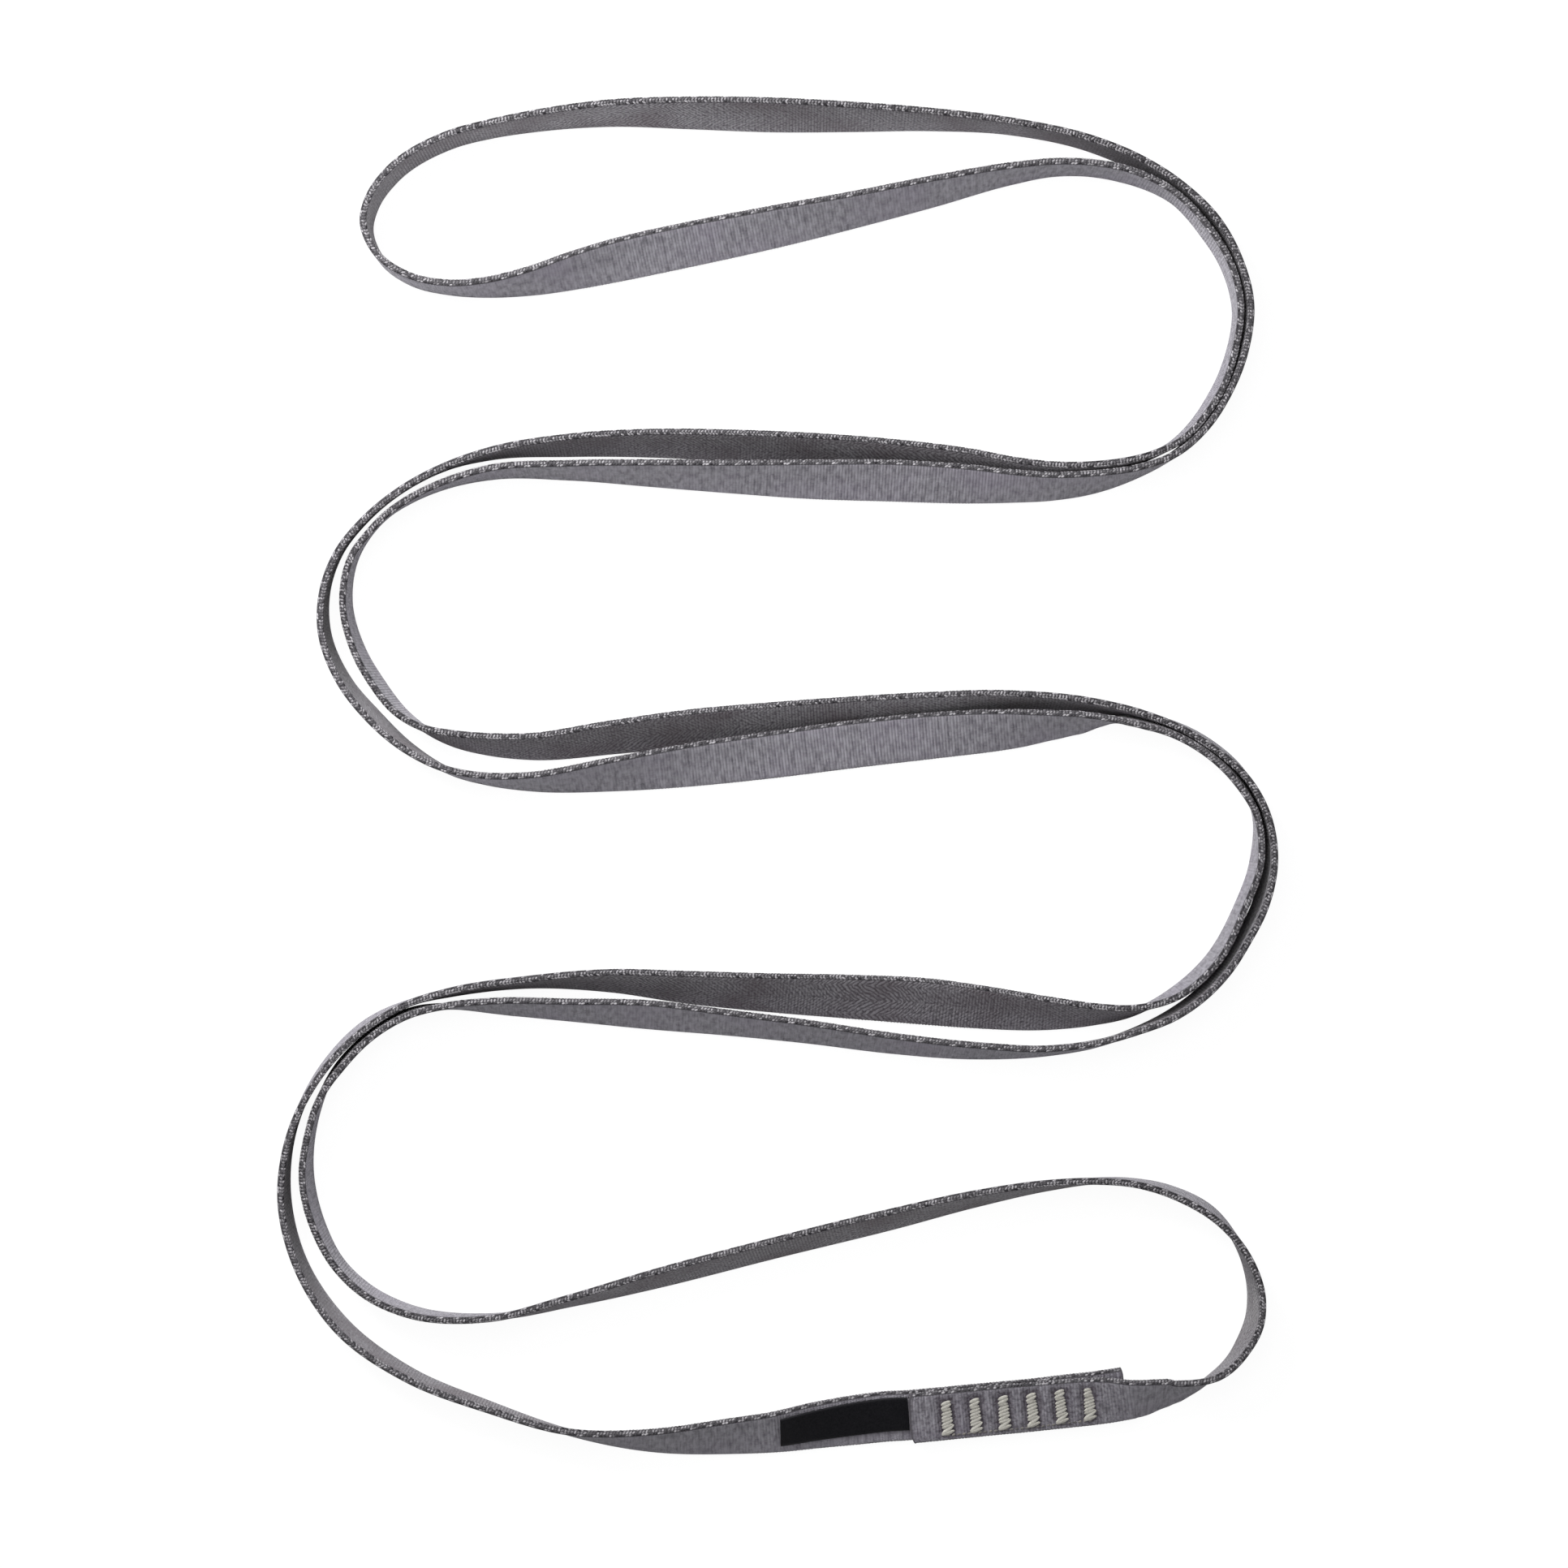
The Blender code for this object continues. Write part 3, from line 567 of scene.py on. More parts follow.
def store(mesh, values):
    """Lists of numbers stored on a mesh's points, by their names."""
    for key, data in values.items():
        mesh.attributes.new(key, "FLOAT", "POINT").data.foreach_set("value", data)


def tube_mesh(name, columns, vertices, values, material):
    """A closed tube through rows of points, so many in each row, with flat ends."""
    last = len(vertices) - columns
    faces = []
    for row in range(0, last, columns):
        for column in range(columns):
            a = row + column
            b = row + (column + 1) % columns
            faces.append((a, b, b + columns, a + columns))
    faces.append(tuple(reversed(range(columns))))
    faces.append(tuple(range(last, last + columns)))
    mesh = bpy.data.meshes.new(name)
    mesh.from_pydata(vertices, [], faces)
    store(mesh, values)
    mesh.materials.append(material)
    mesh.shade_smooth()
    for edge in mesh.edges:
        if max(edge.vertices) < columns or min(edge.vertices) >= last:
            edge.use_edge_sharp = True
    return mesh


def core_mesh(name, low, high, material):
    """The strap's woven core from one length to the other, with its weave coordinates."""
    outline = core_outline()
    vertices = []
    values = {"along": [], "across": [], "side": [], "cut": [], "dent": []}
    for length in row_lengths(low, high):
        to_cut = FAR_FROM_CUT
        if 0 in (low, high):
            to_cut = length
        if strap_end in (low, high):
            to_cut = strap_end - length
        for out, across, side, reach in outline:
            vertices.append(strap_point(low, high, length, out, across))
            values["along"].append(length)
            values["across"].append(reach)
            values["side"].append(side)
            values["cut"].append(to_cut)
            # How deep the tacks pull the webbing in here, which the material turns into painted shade
            values["dent"].append(tack_dent(low, high, length, across))
    return tube_mesh(name, len(outline), vertices, values, material)


# The yarns bound over the webbing's edges: short floats in three rows along the upper edge
# and two along the lower, as (place round the edge and slant in degrees, paleness, whether
# dark floats come in bands), and the spread of each random draw, as (low, high, seed)
YARN_PITCH = 0.00105
YARN_LENGTH = 0.00130
YARN_WIDTH = 0.00068
YARN_HEIGHT = 0.00034
YARN_SEGMENTS = 7
YARN_RINGS = 4
UPPER_ROWS = ((-48, -30, 0.36, 0), (-4, 62, 0.46, 0), (40, 18, 0.58, 1))
LOWER_ROWS = ((-12, 62, 0.46, 0), (25, 18, 0.58, 1))
YARN_BEAT = 5
YARN_DARK_BEATS = 3
YARN_DARKENING = -0.85
YARN_LEAST_TONE = 0.02
YARN_JITTER = (0.5, 1.5, 7)
YARN_STRAY = (-0.36, 0.36, 3)
YARN_SWELL = (0.75, 1.2, 5)
YARN_STUMBLE = (0.0, 5.0, 11)
RAIL_SPACING = 0.002
SPLICE_DISORDER = 1.0


def edge_lines(low, high):
    """Lines along both edges of a stretch, of (place, outward, slant, paleness, banded)."""
    start = low + CUT_BEAD_REACH * (low == 0)
    end = high - CUT_BEAD_REACH * (high == strap_end)
    count = max(2, math.ceil((end - start) / RAIL_SPACING))
    lines = []
    for sign, rows in ((1, UPPER_ROWS), (-1, LOWER_ROWS)):
        for place, slant, paleness, banded in rows:
            angle = math.radians(place)
            out = CORE_THICKNESS / 2 * math.sin(angle)
            across = (CORE_SHOULDER + CORE_RIM * math.cos(angle)) * sign
            line = []
            for i in range(count + 1):
                length = start + (end - start) * i / count
                station = strap.at(length)
                way = station.normal * math.sin(angle) + station.across * math.cos(angle) * sign
                point = strap_point(low, high, length, out, across)
                line.append((point, way, math.radians(slant) * sign, paleness, banded))
            lines.append(line)
    return lines


def rail_object(name, keys, lines):
    """Lines for threads to follow, of (place, outward) and a value for each key."""
    vertices = []
    edges = []
    outward = []
    values = {key: [] for key in keys}
    for line in lines:
        for i, (place, way, *rest) in enumerate(line):
            if i:
                edges.append((len(vertices) - 1, len(vertices)))
            vertices.append(place)
            outward.extend(way)
            for key, value in zip(keys, rest):
                values[key].append(value)
    mesh = bpy.data.meshes.new(name)
    mesh.from_pydata(vertices, edges, [])
    mesh.attributes.new("outward", "FLOAT_VECTOR", "POINT").data.foreach_set("vector", outward)
    store(mesh, values)
    return new_object(name, mesh)


def add_sockets(tree, sockets, way="INPUT"):
    """Named sockets of a node group, each given as its kind, or as its value for a number."""
    for name, value in sockets.items():
        kind = value if isinstance(value, str) else "Float"
        socket = tree.interface.new_socket(name, in_out=way, socket_type="NodeSocket" + kind)
        if kind == "Float":
            socket.default_value = value


def stored(tree, name, kind="FLOAT"):
    """What a geometry's points carry under a name."""
    node = add_node(tree, "GeometryNodeInputNamedAttribute", {"Name": name}, data_type=kind)
    return node.outputs[0]


def random_value(tree, low, high, seed):
    """A random number for each point or instance."""
    values = {2: low, 3: high, "Seed": seed}
    return add_node(tree, "FunctionNodeRandomValue", values, data_type="FLOAT").outputs[1]


def laid_ovals(tree, given, line_axis, angle, size, oval, tone):
    """Small ovals of thread along the lines of the Rails object, with a tone on each.

    line_axis is the oval's axis that follows the line, angle turns the oval about its outward
    axis, and oval gives the segments and rings of its mesh.
    """
    rails = add_node(tree, "GeometryNodeObjectInfo", {"Object": given["Rails"]})
    lines = add_node(tree, "GeometryNodeMeshToCurve", {0: rails.outputs["Geometry"]})
    dots = add_node(
        tree, "GeometryNodeResampleCurve",
        {"Curve": lines.outputs[0], "Length": given["Pitch"]}, mode="LENGTH",
    )
    outward = stored(tree, "outward", "FLOAT_VECTOR")
    tangent = add_node(tree, "GeometryNodeInputTangent").outputs[0]
    facing = add_node(
        tree, "FunctionNodeAxesToRotation", {0: outward, 1: tangent},
        primary_axis="Z", secondary_axis=line_axis,
    )
    turn = add_node(tree, "ShaderNodeCombineXYZ", {2: angle})
    rotation = add_node(
        tree, "FunctionNodeRotateRotation",
        {0: facing.outputs[0], 1: turn.outputs[0]}, rotation_space="LOCAL",
    )
    scale = add_node(tree, "ShaderNodeCombineXYZ", dict(enumerate(size)))
    sphere = add_node(
        tree, "GeometryNodeMeshUVSphere",
        {"Segments": oval[0], "Rings": oval[1], "Radius": 0.5},
    )
    ovals = add_node(
        tree, "GeometryNodeInstanceOnPoints",
        {
            "Points": dots.outputs[0], "Instance": sphere.outputs[0],
            "Rotation": rotation.outputs[0], "Scale": scale.outputs[0],
        },
    )
    marked = add_node(
        tree, "GeometryNodeStoreNamedAttribute",
        {"Geometry": ovals.outputs[0], "Name": "tone", "Value": tone},
        data_type="FLOAT", domain="INSTANCE",
    )
    return marked.outputs[0]


def joined(tree, *parts):
    """Several geometries as one."""
    node = tree.nodes.new("GeometryNodeJoinGeometry")
    for part in parts:
        tree.links.new(part, node.inputs[0])
    return node.outputs[0]


def give_geometry(tree, values):
    """The tree's result: a geometry with its material."""
    dressed = add_node(tree, "GeometryNodeSetMaterial", values)
    result = tree.nodes.new("NodeGroupOutput")
    tree.links.new(dressed.outputs[0], result.inputs[0])


def selvedge_tree():
    """Yarn floats along an object's lines, joined to the webbing that carries them."""
    tree = bpy.data.node_groups.new("selvedge_yarns", "GeometryNodeTree")
    add_sockets(tree, {
        "Webbing": "Geometry", "Rails": "Object", "Material": "Material",
        "Pitch": YARN_PITCH, "Length": YARN_LENGTH, "Width": YARN_WIDTH, "Height": YARN_HEIGHT,
        "Beat": YARN_BEAT, "Dark Beats": YARN_DARK_BEATS, "Disorder": 0.0,
    })
    add_sockets(tree, {"Webbing": "Geometry"}, "OUTPUT")
    given = tree.nodes.new("NodeGroupInput").outputs
    angle = maths(tree, "MULTIPLY", stored(tree, "slant"), random_value(tree, *YARN_JITTER))
    length = maths(tree, "MULTIPLY", given["Length"], random_value(tree, *YARN_SWELL))
    index = tree.nodes.new("GeometryNodeInputIndex").outputs[0]
    wander = random_value(tree, *YARN_STUMBLE)
    stumble = maths(tree, "MULTIPLY_ADD", wander, given["Disorder"], index)
    beat = maths(tree, "MODULO", stumble, given["Beat"])
    dark = maths(tree, "LESS_THAN", beat, given["Dark Beats"])
    dark = maths(tree, "MULTIPLY", dark, stored(tree, "banded"))
    band = maths(tree, "MULTIPLY_ADD", dark, YARN_DARKENING, 1.0)
    tone = maths(tree, "ADD", stored(tree, "paleness"), random_value(tree, *YARN_STRAY))
    tone = maths(tree, "MAXIMUM", maths(tree, "MULTIPLY", tone, band), YARN_LEAST_TONE)
    size = (length, given["Width"], given["Height"])
    yarns = laid_ovals(tree, given, "X", angle, size, (YARN_SEGMENTS, YARN_RINGS), tone)
    both = joined(tree, yarns, given["Webbing"])
    smooth = add_node(tree, "GeometryNodeSetShadeSmooth", {0: both})
    real = add_node(tree, "GeometryNodeRealizeInstances", {0: smooth.outputs[0]})
    is_yarn = maths(tree, "GREATER_THAN", stored(tree, "tone"), 0.0)
    give_geometry(
        tree,
        {"Geometry": real.outputs[0], "Selection": is_yarn, "Material": given["Material"]},
    )
    return tree


def grown_piece(name, mesh, tree, rails, values):
    """A piece that a node tree grows on a mesh and its rails, as a plain mesh."""
    source = new_object(name + "_source", mesh)
    modifier = source.modifiers.new(tree.name, "NODES")
    modifier.node_group = tree
    values = {"Rails": rails, **values}
    for item in tree.interface.items_tree:
        if item.name in values and item.in_out == "INPUT":
            modifier[item.identifier] = values[item.name]
    graph = bpy.context.evaluated_depsgraph_get()
    made = bpy.data.meshes.new_from_object(source.evaluated_get(graph))
    bpy.data.objects.remove(source, do_unlink=True)
    bpy.data.objects.remove(rails, do_unlink=True)
    bpy.data.meshes.remove(mesh)
    return new_object(name, made)


# The webbing's looks: its colours, the pitch of each weave, and the scales of its patterns
RIB_COLOUR = (0.435, 0.418, 0.465)
RIB_DARK = (0.19, 0.18, 0.207)
RIB_PURPLE = (0.34, 0.30, 0.385)
HERRINGBONE_COLOUR = (0.135, 0.122, 0.140)
HERRINGBONE_LIGHT = (0.62, 0.60, 0.64)
HERRINGBONE_BROWN = (0.145, 0.108, 0.125)
# Dark purple-grey for the real speckle of the sewn zone, and painted shade in the dents beside the bar
# tacks
SPECKLE_AND_DENT_SHADE_COLOUR = (0.10, 0.085, 0.105)
MELTED_COLOUR = (0.11, 0.10, 0.115)
EDGE_COLOUR = (0.10, 0.095, 0.106)
EDGE_FADE = 0.0004
LOWER_EDGE_INSET = 0.0008
RIB_PITCH = 0.00102
RIB_YARN = 0.00062
HERRINGBONE_PITCH = 0.0017
HERRINGBONE_PANEL = 0.0060
HERRINGBONE_SLANT = 1.1
HERRINGBONE_TILT = 35
SWAY_SCALE = 42.0
SWAY_PITCHES = 5.5
FRAY_SCALE = 420.0
FRAY_PITCHES = 1.1
FLECK_SCALE = 900.0
PATCH_SCALE = 35.0
CHANGE_SCALE = 16.0
STREAK_SCALE = 700.0
STREAK_STRETCH = (1.0, 0.35, 1.0)
PURPLE_SHARE = 0.6
PEPPER_START = 0.066
PEPPER_END = 0.080
PEPPER_SHARE = 0.55
# How strongly the dents beside the bar tacks take painted shade
DENT_SHADE_SHARE = 0.72
BUMP_HEIGHT = 0.0004
RIB_BUMP_SHARE = 0.5
HERRINGBONE_BUMP_SHARE = 0.28
WEBBING_FINISH = {
    "Roughness": 0.7, "Sheen Weight": 0.25, "Sheen Roughness": 0.4, "Specular IOR Level": 0.2,
}

# Grades make a pattern into a share of a colour, as (times, plus)
RIB_HEIGHT_GRADE = (-0.40, 0.05)
RIB_TONE_GRADE = (0.32, 0.17)
STREAK_GRADE = (2.5, -1.12)
PURPLE_GRADE = (2.4, -1.1)
FLECK_GRADE = (3.4, -0.90)
CHANGE_GRADE = (4.0, -1.4)
GLOW_GRADE = (2.2, -0.25)
BROWN_GRADE = (-3.0, 1.7)
PEPPER_GRADE = (5.0, -2.2)


def noise(tree, place, scale, detail, roughness=0.5):
    """A cloudy pattern, finer for a greater scale."""
    values = {"Vector": place, "Scale": scale, "Detail": detail, "Roughness": roughness}
    return add_node(tree, "ShaderNodeTexNoise", values).outputs[0]


def weave_group(name, sizes):
    """A node group for a weave, with its inputs: a place on the webbing, and named sizes."""
    tree = bpy.data.node_groups.new(name, "ShaderNodeTree")
    add_sockets(tree, {"Along": 0.0, "Across": 0.0, **sizes})
    add_sockets(tree, {"Height": 0.0, "Tone": 0.0}, "OUTPUT")
    return tree, tree.nodes.new("NodeGroupInput").outputs


def give_weave(tree, height, tone):
    """The weave's results: how high its yarns lie, and a tone for each float."""
    result = tree.nodes.new("NodeGroupOutput")
    tree.links.new(height, result.inputs["Height"])
    tree.links.new(tone, result.inputs["Tone"])


def ridges(tree, count):
    """A round ridge over each whole number."""
    return maths(tree, "SINE", maths(tree, "MULTIPLY", maths(tree, "FRACT", count), math.pi))


def rib_weave_group():
    """Fine cross ribs of short yarn floats."""
    sizes = {"Rib Pitch": RIB_PITCH, "Yarn Width": RIB_YARN}
    tree, given = weave_group("cross_rib_weave", sizes)
    ribs = maths(tree, "DIVIDE", given["Along"], given["Rib Pitch"])
    row = maths(tree, "FLOOR", ribs)
    yarns = maths(tree, "DIVIDE", given["Across"], given["Yarn Width"])
    shifted = maths(tree, "MULTIPLY_ADD", row, 0.5, yarns)
    bead = maths(tree, "MULTIPLY_ADD", ridges(tree, shifted), 0.5, 0.5)
    cell = add_node(tree, "ShaderNodeCombineXYZ", {0: row, 1: maths(tree, "FLOOR", shifted)})
    tone = add_node(tree, "ShaderNodeTexWhiteNoise", {"Vector": cell.outputs[0]})
    give_weave(tree, maths(tree, "MULTIPLY", ridges(tree, ribs), bead), tone.outputs["Value"])
    return tree


def herringbone_group():
    """Slanting floats that turn back at each panel, swaying and fraying along their way."""
    sizes = {
        "Pitch": HERRINGBONE_PITCH, "Panel": HERRINGBONE_PANEL, "Slant": HERRINGBONE_SLANT,
    }
    tree, given = weave_group("herringbone_weave", sizes)
    fold = maths(tree, "PINGPONG", given["Across"], given["Panel"])
    place = add_node(tree, "ShaderNodeCombineXYZ", {0: given["Along"], 1: given["Across"]})
    place = place.outputs[0]
    slanted = maths(tree, "MULTIPLY_ADD", fold, given["Slant"], given["Along"])
    lines = maths(tree, "DIVIDE", slanted, given["Pitch"])
    for scale, pitches in ((SWAY_SCALE, SWAY_PITCHES), (FRAY_SCALE, FRAY_PITCHES)):
        lines = maths(tree, "MULTIPLY_ADD", noise(tree, place, scale, 1.0), pitches, lines)
    give_weave(tree, ridges(tree, lines), noise(tree, place, FLECK_SCALE, 2.0))
    return tree


def attribute(tree, name):
    """A value stored on the piece's own mesh."""
    return add_node(tree, "ShaderNodeAttribute", attribute_name=name).outputs["Fac"]


def graded(tree, value, grade, use_clamp=True):
    """A value times the grade's first number plus its second."""
    return maths(tree, "MULTIPLY_ADD", value, *grade, use_clamp=use_clamp)


def ramp(tree, value, start, end, levels=(0.0, 1.0), **settings):
    """A value that goes from the first level to the second between start and end."""
    values = {
        "Value": value, "From Min": start, "From Max": end,
        "To Min": levels[0], "To Max": levels[1],
    }
    return add_node(tree, "ShaderNodeMapRange", values, **settings).outputs[0]


def mix_colour(tree, share, one, other):
    """The first colour turning into the other by a share."""
    one, other = ((*c, 1) if isinstance(c, tuple) else c for c in (one, other))
    return add_node(
        tree, "ShaderNodeMix", {0: share, 6: one, 7: other}, data_type="RGBA"
    ).outputs[2]


def mix_value(tree, share, one, other):
    """The first value turning into the other by a share."""
    return add_node(
        tree, "ShaderNodeMix", {0: share, 2: one, 3: other}, data_type="FLOAT"
    ).outputs[0]


def give_surface(tree, output, colour, height, relief, finish):
    """The material's surface: its colour, a bump by (strength, distance), and its finish."""
    values = {"Height": height, "Strength": relief[0], "Distance": relief[1]}
    bump = add_node(tree, "ShaderNodeBump", values)
    values = {"Base Color": colour, "Normal": bump.outputs[0], **finish}
    shader = add_node(tree, "ShaderNodeBsdfPrincipled", values)
    tree.links.new(shader.outputs[0], output.inputs["Surface"])


def webbing_material(rib_weave):
    """Grey nylon: cross ribs on the left face, herringbone on the right, dark melted ends."""
    material, tree, output = new_material("grey_nylon_webbing")
    along = attribute(tree, "along")
    across = attribute(tree, "across")
    side = attribute(tree, "side")
    to_cut = attribute(tree, "cut")
    yarns = {"Along": along, "Across": across}
    rib = add_node(tree, "ShaderNodeGroup", yarns, node_tree=rib_weave).outputs
    twill = add_node(tree, "ShaderNodeGroup", yarns, node_tree=herringbone_group()).outputs
    place = add_node(tree, "ShaderNodeCombineXYZ", {0: along, 1: across, 2: side}).outputs[0]
    patch = noise(tree, place, PATCH_SCALE, 2.0, 0.6)

    # The ribbed face: pale ribs with dark specks and streaks, and purplish patches
    streak_place = add_node(
        tree, "ShaderNodeVectorMath", {0: place, 1: STREAK_STRETCH}, operation="MULTIPLY"
    )
    streak = noise(tree, streak_place.outputs[0], STREAK_SCALE, 2.0)
    depth = graded(tree, patch, RIB_HEIGHT_GRADE, use_clamp=False)
    tone = graded(tree, rib["Tone"], RIB_TONE_GRADE, use_clamp=False)
    shade = maths(tree, "MULTIPLY_ADD", rib["Height"], depth, tone)
    streak = graded(tree, streak, STREAK_GRADE, use_clamp=False)
    shade = maths(tree, "ADD", shade, streak, use_clamp=True)
    ribbed = mix_colour(tree, shade, RIB_COLOUR, RIB_DARK)
    purple = maths(tree, "MULTIPLY", graded(tree, patch, PURPLE_GRADE), PURPLE_SHARE)
    ribbed = mix_colour(tree, purple, ribbed, RIB_PURPLE)

    # The twilled face: light floats on a dark ground, where its lines and its ribs take turns
    change = noise(tree, place, CHANGE_SCALE, 1.0)
    change = graded(tree, change, CHANGE_GRADE)
    weave = mix_value(tree, change, rib["Height"], twill["Height"])
    light = maths(tree, "MULTIPLY", weave, graded(tree, twill["Tone"], FLECK_GRADE))
    light = maths(tree, "MULTIPLY", light, graded(tree, patch, GLOW_GRADE), use_clamp=True)
    brown = graded(tree, patch, BROWN_GRADE)
    twilled = mix_colour(tree, brown, HERRINGBONE_COLOUR, HERRINGBONE_BROWN)
    twilled = mix_colour(tree, light, twilled, HERRINGBONE_LIGHT)

    # Both faces: painted shade in the dents where the tacks pull it in, over the real speckle of the sewn
    # zone; darker along the edges and at the melted ends
    is_left = maths(tree, "GREATER_THAN", side, 0.0)
    colour = mix_colour(tree, is_left, twilled, ribbed)
    beside_splice = ramp(tree, to_cut, PEPPER_START, PEPPER_END, (1.0, 0.0))
    pepper = maths(tree, "MULTIPLY", graded(tree, twill["Tone"], PEPPER_GRADE), beside_splice)
    pepper = maths(tree, "MULTIPLY", pepper, PEPPER_SHARE)
    # The dent depth darkens the colour as painted shade, added to the speckle
    dent = attribute(tree, "dent")
    speckle_and_dent_shade = maths(tree, "MULTIPLY_ADD", dent, DENT_SHADE_SHARE, pepper, use_clamp=True)
    colour = mix_colour(tree, speckle_and_dent_shade, colour, SPECKLE_AND_DENT_SHADE_COLOUR)
    lower = maths(tree, "MULTIPLY_ADD", across, -1.0, -LOWER_EDGE_INSET)
    to_edge = maths(tree, "MAXIMUM", across, lower)
    edge = ramp(tree, to_edge, CORE_SHOULDER, CORE_SHOULDER + EDGE_FADE)
    colour = mix_colour(tree, edge, colour, EDGE_COLOUR)
    melt = ramp(
        tree, to_cut, 0.0, CUT_BEAD_REACH, (1.0, 0.0), interpolation_type="SMOOTHSTEP"
    )
    colour = mix_colour(tree, melt, colour, MELTED_COLOUR)

    # The herringbone's floats lie tilted along the strap, so it is brighter from one end
    tilt = -math.tan(math.radians(HERRINGBONE_TILT)) / BUMP_HEIGHT
    relief = maths(tree, "MULTIPLY", twill["Height"], HERRINGBONE_BUMP_SHARE)
    relief = maths(tree, "MULTIPLY_ADD", along, tilt, relief)
    ribs = maths(tree, "MULTIPLY", rib["Height"], RIB_BUMP_SHARE)
    height = mix_value(tree, is_left, relief, ribs)
    give_surface(tree, output, colour, height, (1.0, BUMP_HEIGHT), WEBBING_FINISH)
    return material


# The edge yarns' looks
YARN_DARK = (0.018, 0.016, 0.020)
YARN_LIGHT = (0.60, 0.58, 0.61)
FIBRE_SCALE = 2500.0
FIBRE_GRADE = (0.5, -0.25)
FIBRE_RELIEF = (0.6, 0.0001)
YARN_FINISH = {"Roughness": 0.6, "Specular IOR Level": 0.2}


def yarn_material():
    """The edge yarns, from dark to light by the tone of each."""
    material, tree, output = new_material("grey_selvedge_yarn")
    place = add_node(tree, "ShaderNodeTexCoord").outputs["Object"]
    fibre = noise(tree, place, FIBRE_SCALE, 2.0)
    level = graded(tree, fibre, FIBRE_GRADE, use_clamp=False)
    level = maths(tree, "ADD", level, attribute(tree, "tone"), use_clamp=True)
    colour = mix_colour(tree, level, YARN_DARK, YARN_LIGHT)
    give_surface(tree, output, colour, fibre, FIBRE_RELIEF, YARN_FINISH)
    return material


# By how a stretch's name starts: the body that it rides on, or the two that it bends between
# and where, along Y
RIDDEN_BODIES = {
    "head_b": "head", "run_1_": "head", "run_2_": "run_2", "run_3_": "run_3",
    "run_4_": "run_4", "run_5_": "tail", "tail_b": "tail", "splice": "tail",
}
TURN_BENDS = {
    "turn_1": ("run_2", "head", 0.108, 0.198),
    "turn_2": ("run_3", "run_2", 0.012, 0.095),
    "turn_3": ("run_3", "run_4", 0.012, -0.070),
    "turn_4": ("run_4", "tail", -0.080, -0.167),
}

rib_weave = rib_weave_group()
webbing = webbing_material(rib_weave)
yarn = yarn_material()
selvedge = selvedge_tree()
for name, (low, high) in cuts.items():
    keys = ("slant", "paleness", "banded")
    rails = rail_object(name + "_rails", keys, edge_lines(low, high))
    core = core_mesh(name, low, high, webbing)
    disorder = SPLICE_DISORDER if name.startswith("splice") else 0.0
    values = {"Material": yarn, "Disorder": disorder}
    piece = grown_piece(name + "_webbing", core, selvedge, rails, values)
    if name[:6] in TURN_BENDS:
        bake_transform(piece)
    else:
        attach(piece, RIDDEN_BODIES[name[:6]])
    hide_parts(name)

# A path along each stretch of the strap, a point every PATH_SPACING, with the sewn layers of the splice
# left out
PATH_SPACING = 0.004
CARRIED_LAYERS = {
    "run_5_lower_strand": "splice_under_layer",
    "tail_bight": "splice_top_layer",
}
for name, (low, high) in cuts.items():
    if name in CARRIED_LAYERS.values():
        continue
    count = math.ceil((high - low) / PATH_SPACING)
    path = [strap.at(low + (high - low) * i / count).place for i in range(count + 1)]


# Six bar tacks hold the splice: each is a dense bar of cream thread, sewn back and forth
# over itself, so that slanting turns of thread lie side by side on both faces.
TACK_CORE_HEIGHT = 0.0004
TACK_TURN_PITCH = 0.00115
TACK_THREAD = 0.00150
TACK_THREAD_HEIGHT = 0.0007
TACK_SLANT = 17
TACK_SWAY = (-0.3, 2.1)
TACK_UNEVENNESS = 0.26
TACK_SEED = 5
TACK_SEGMENTS = 12
TACK_RINGS = 8
THREAD_LIGHT = (0.76, 0.74, 0.67)
THREAD_DARK = (0.24, 0.225, 0.20)
PLY_SCALE = 1800.0
PLY_GRADE = (1.1, -0.45)
PLY_TONE_GRADE = (-0.65, 0.60)
PLY_RELIEF = (0.7, 0.00015)
THREAD_FINISH = {"Roughness": 0.55, "Sheen Weight": 0.2}

# How wide the thread spreads, as (share of the way from the middle to an end, spread)
TACK_SPREADS = ((-1, 1.38), (-0.6, 1.15), (1, 1.0))


def thread_material(name, light, dark):
    """Twisted polyester thread: fine plies, and a tone for each turn."""
    material, tree, output = new_material(name)
    place = add_node(tree, "ShaderNodeTexCoord").outputs["Object"]
    ply = noise(tree, place, PLY_SCALE, 3.0)
    level = graded(tree, ply, PLY_GRADE, use_clamp=False)
    tone, lift = PLY_TONE_GRADE
    # A piece that carries no tone, such as the block under a tack's turns, comes out near the dark colour:
    # painted shade in the gaps between the turns
    level = maths(tree, "MULTIPLY_ADD", attribute(tree, "tone"), tone, level)
    level = maths(tree, "ADD", level, lift, use_clamp=True)
    colour = mix_colour(tree, level, light, dark)
    give_surface(tree, output, colour, ply, PLY_RELIEF, THREAD_FINISH)
    return material


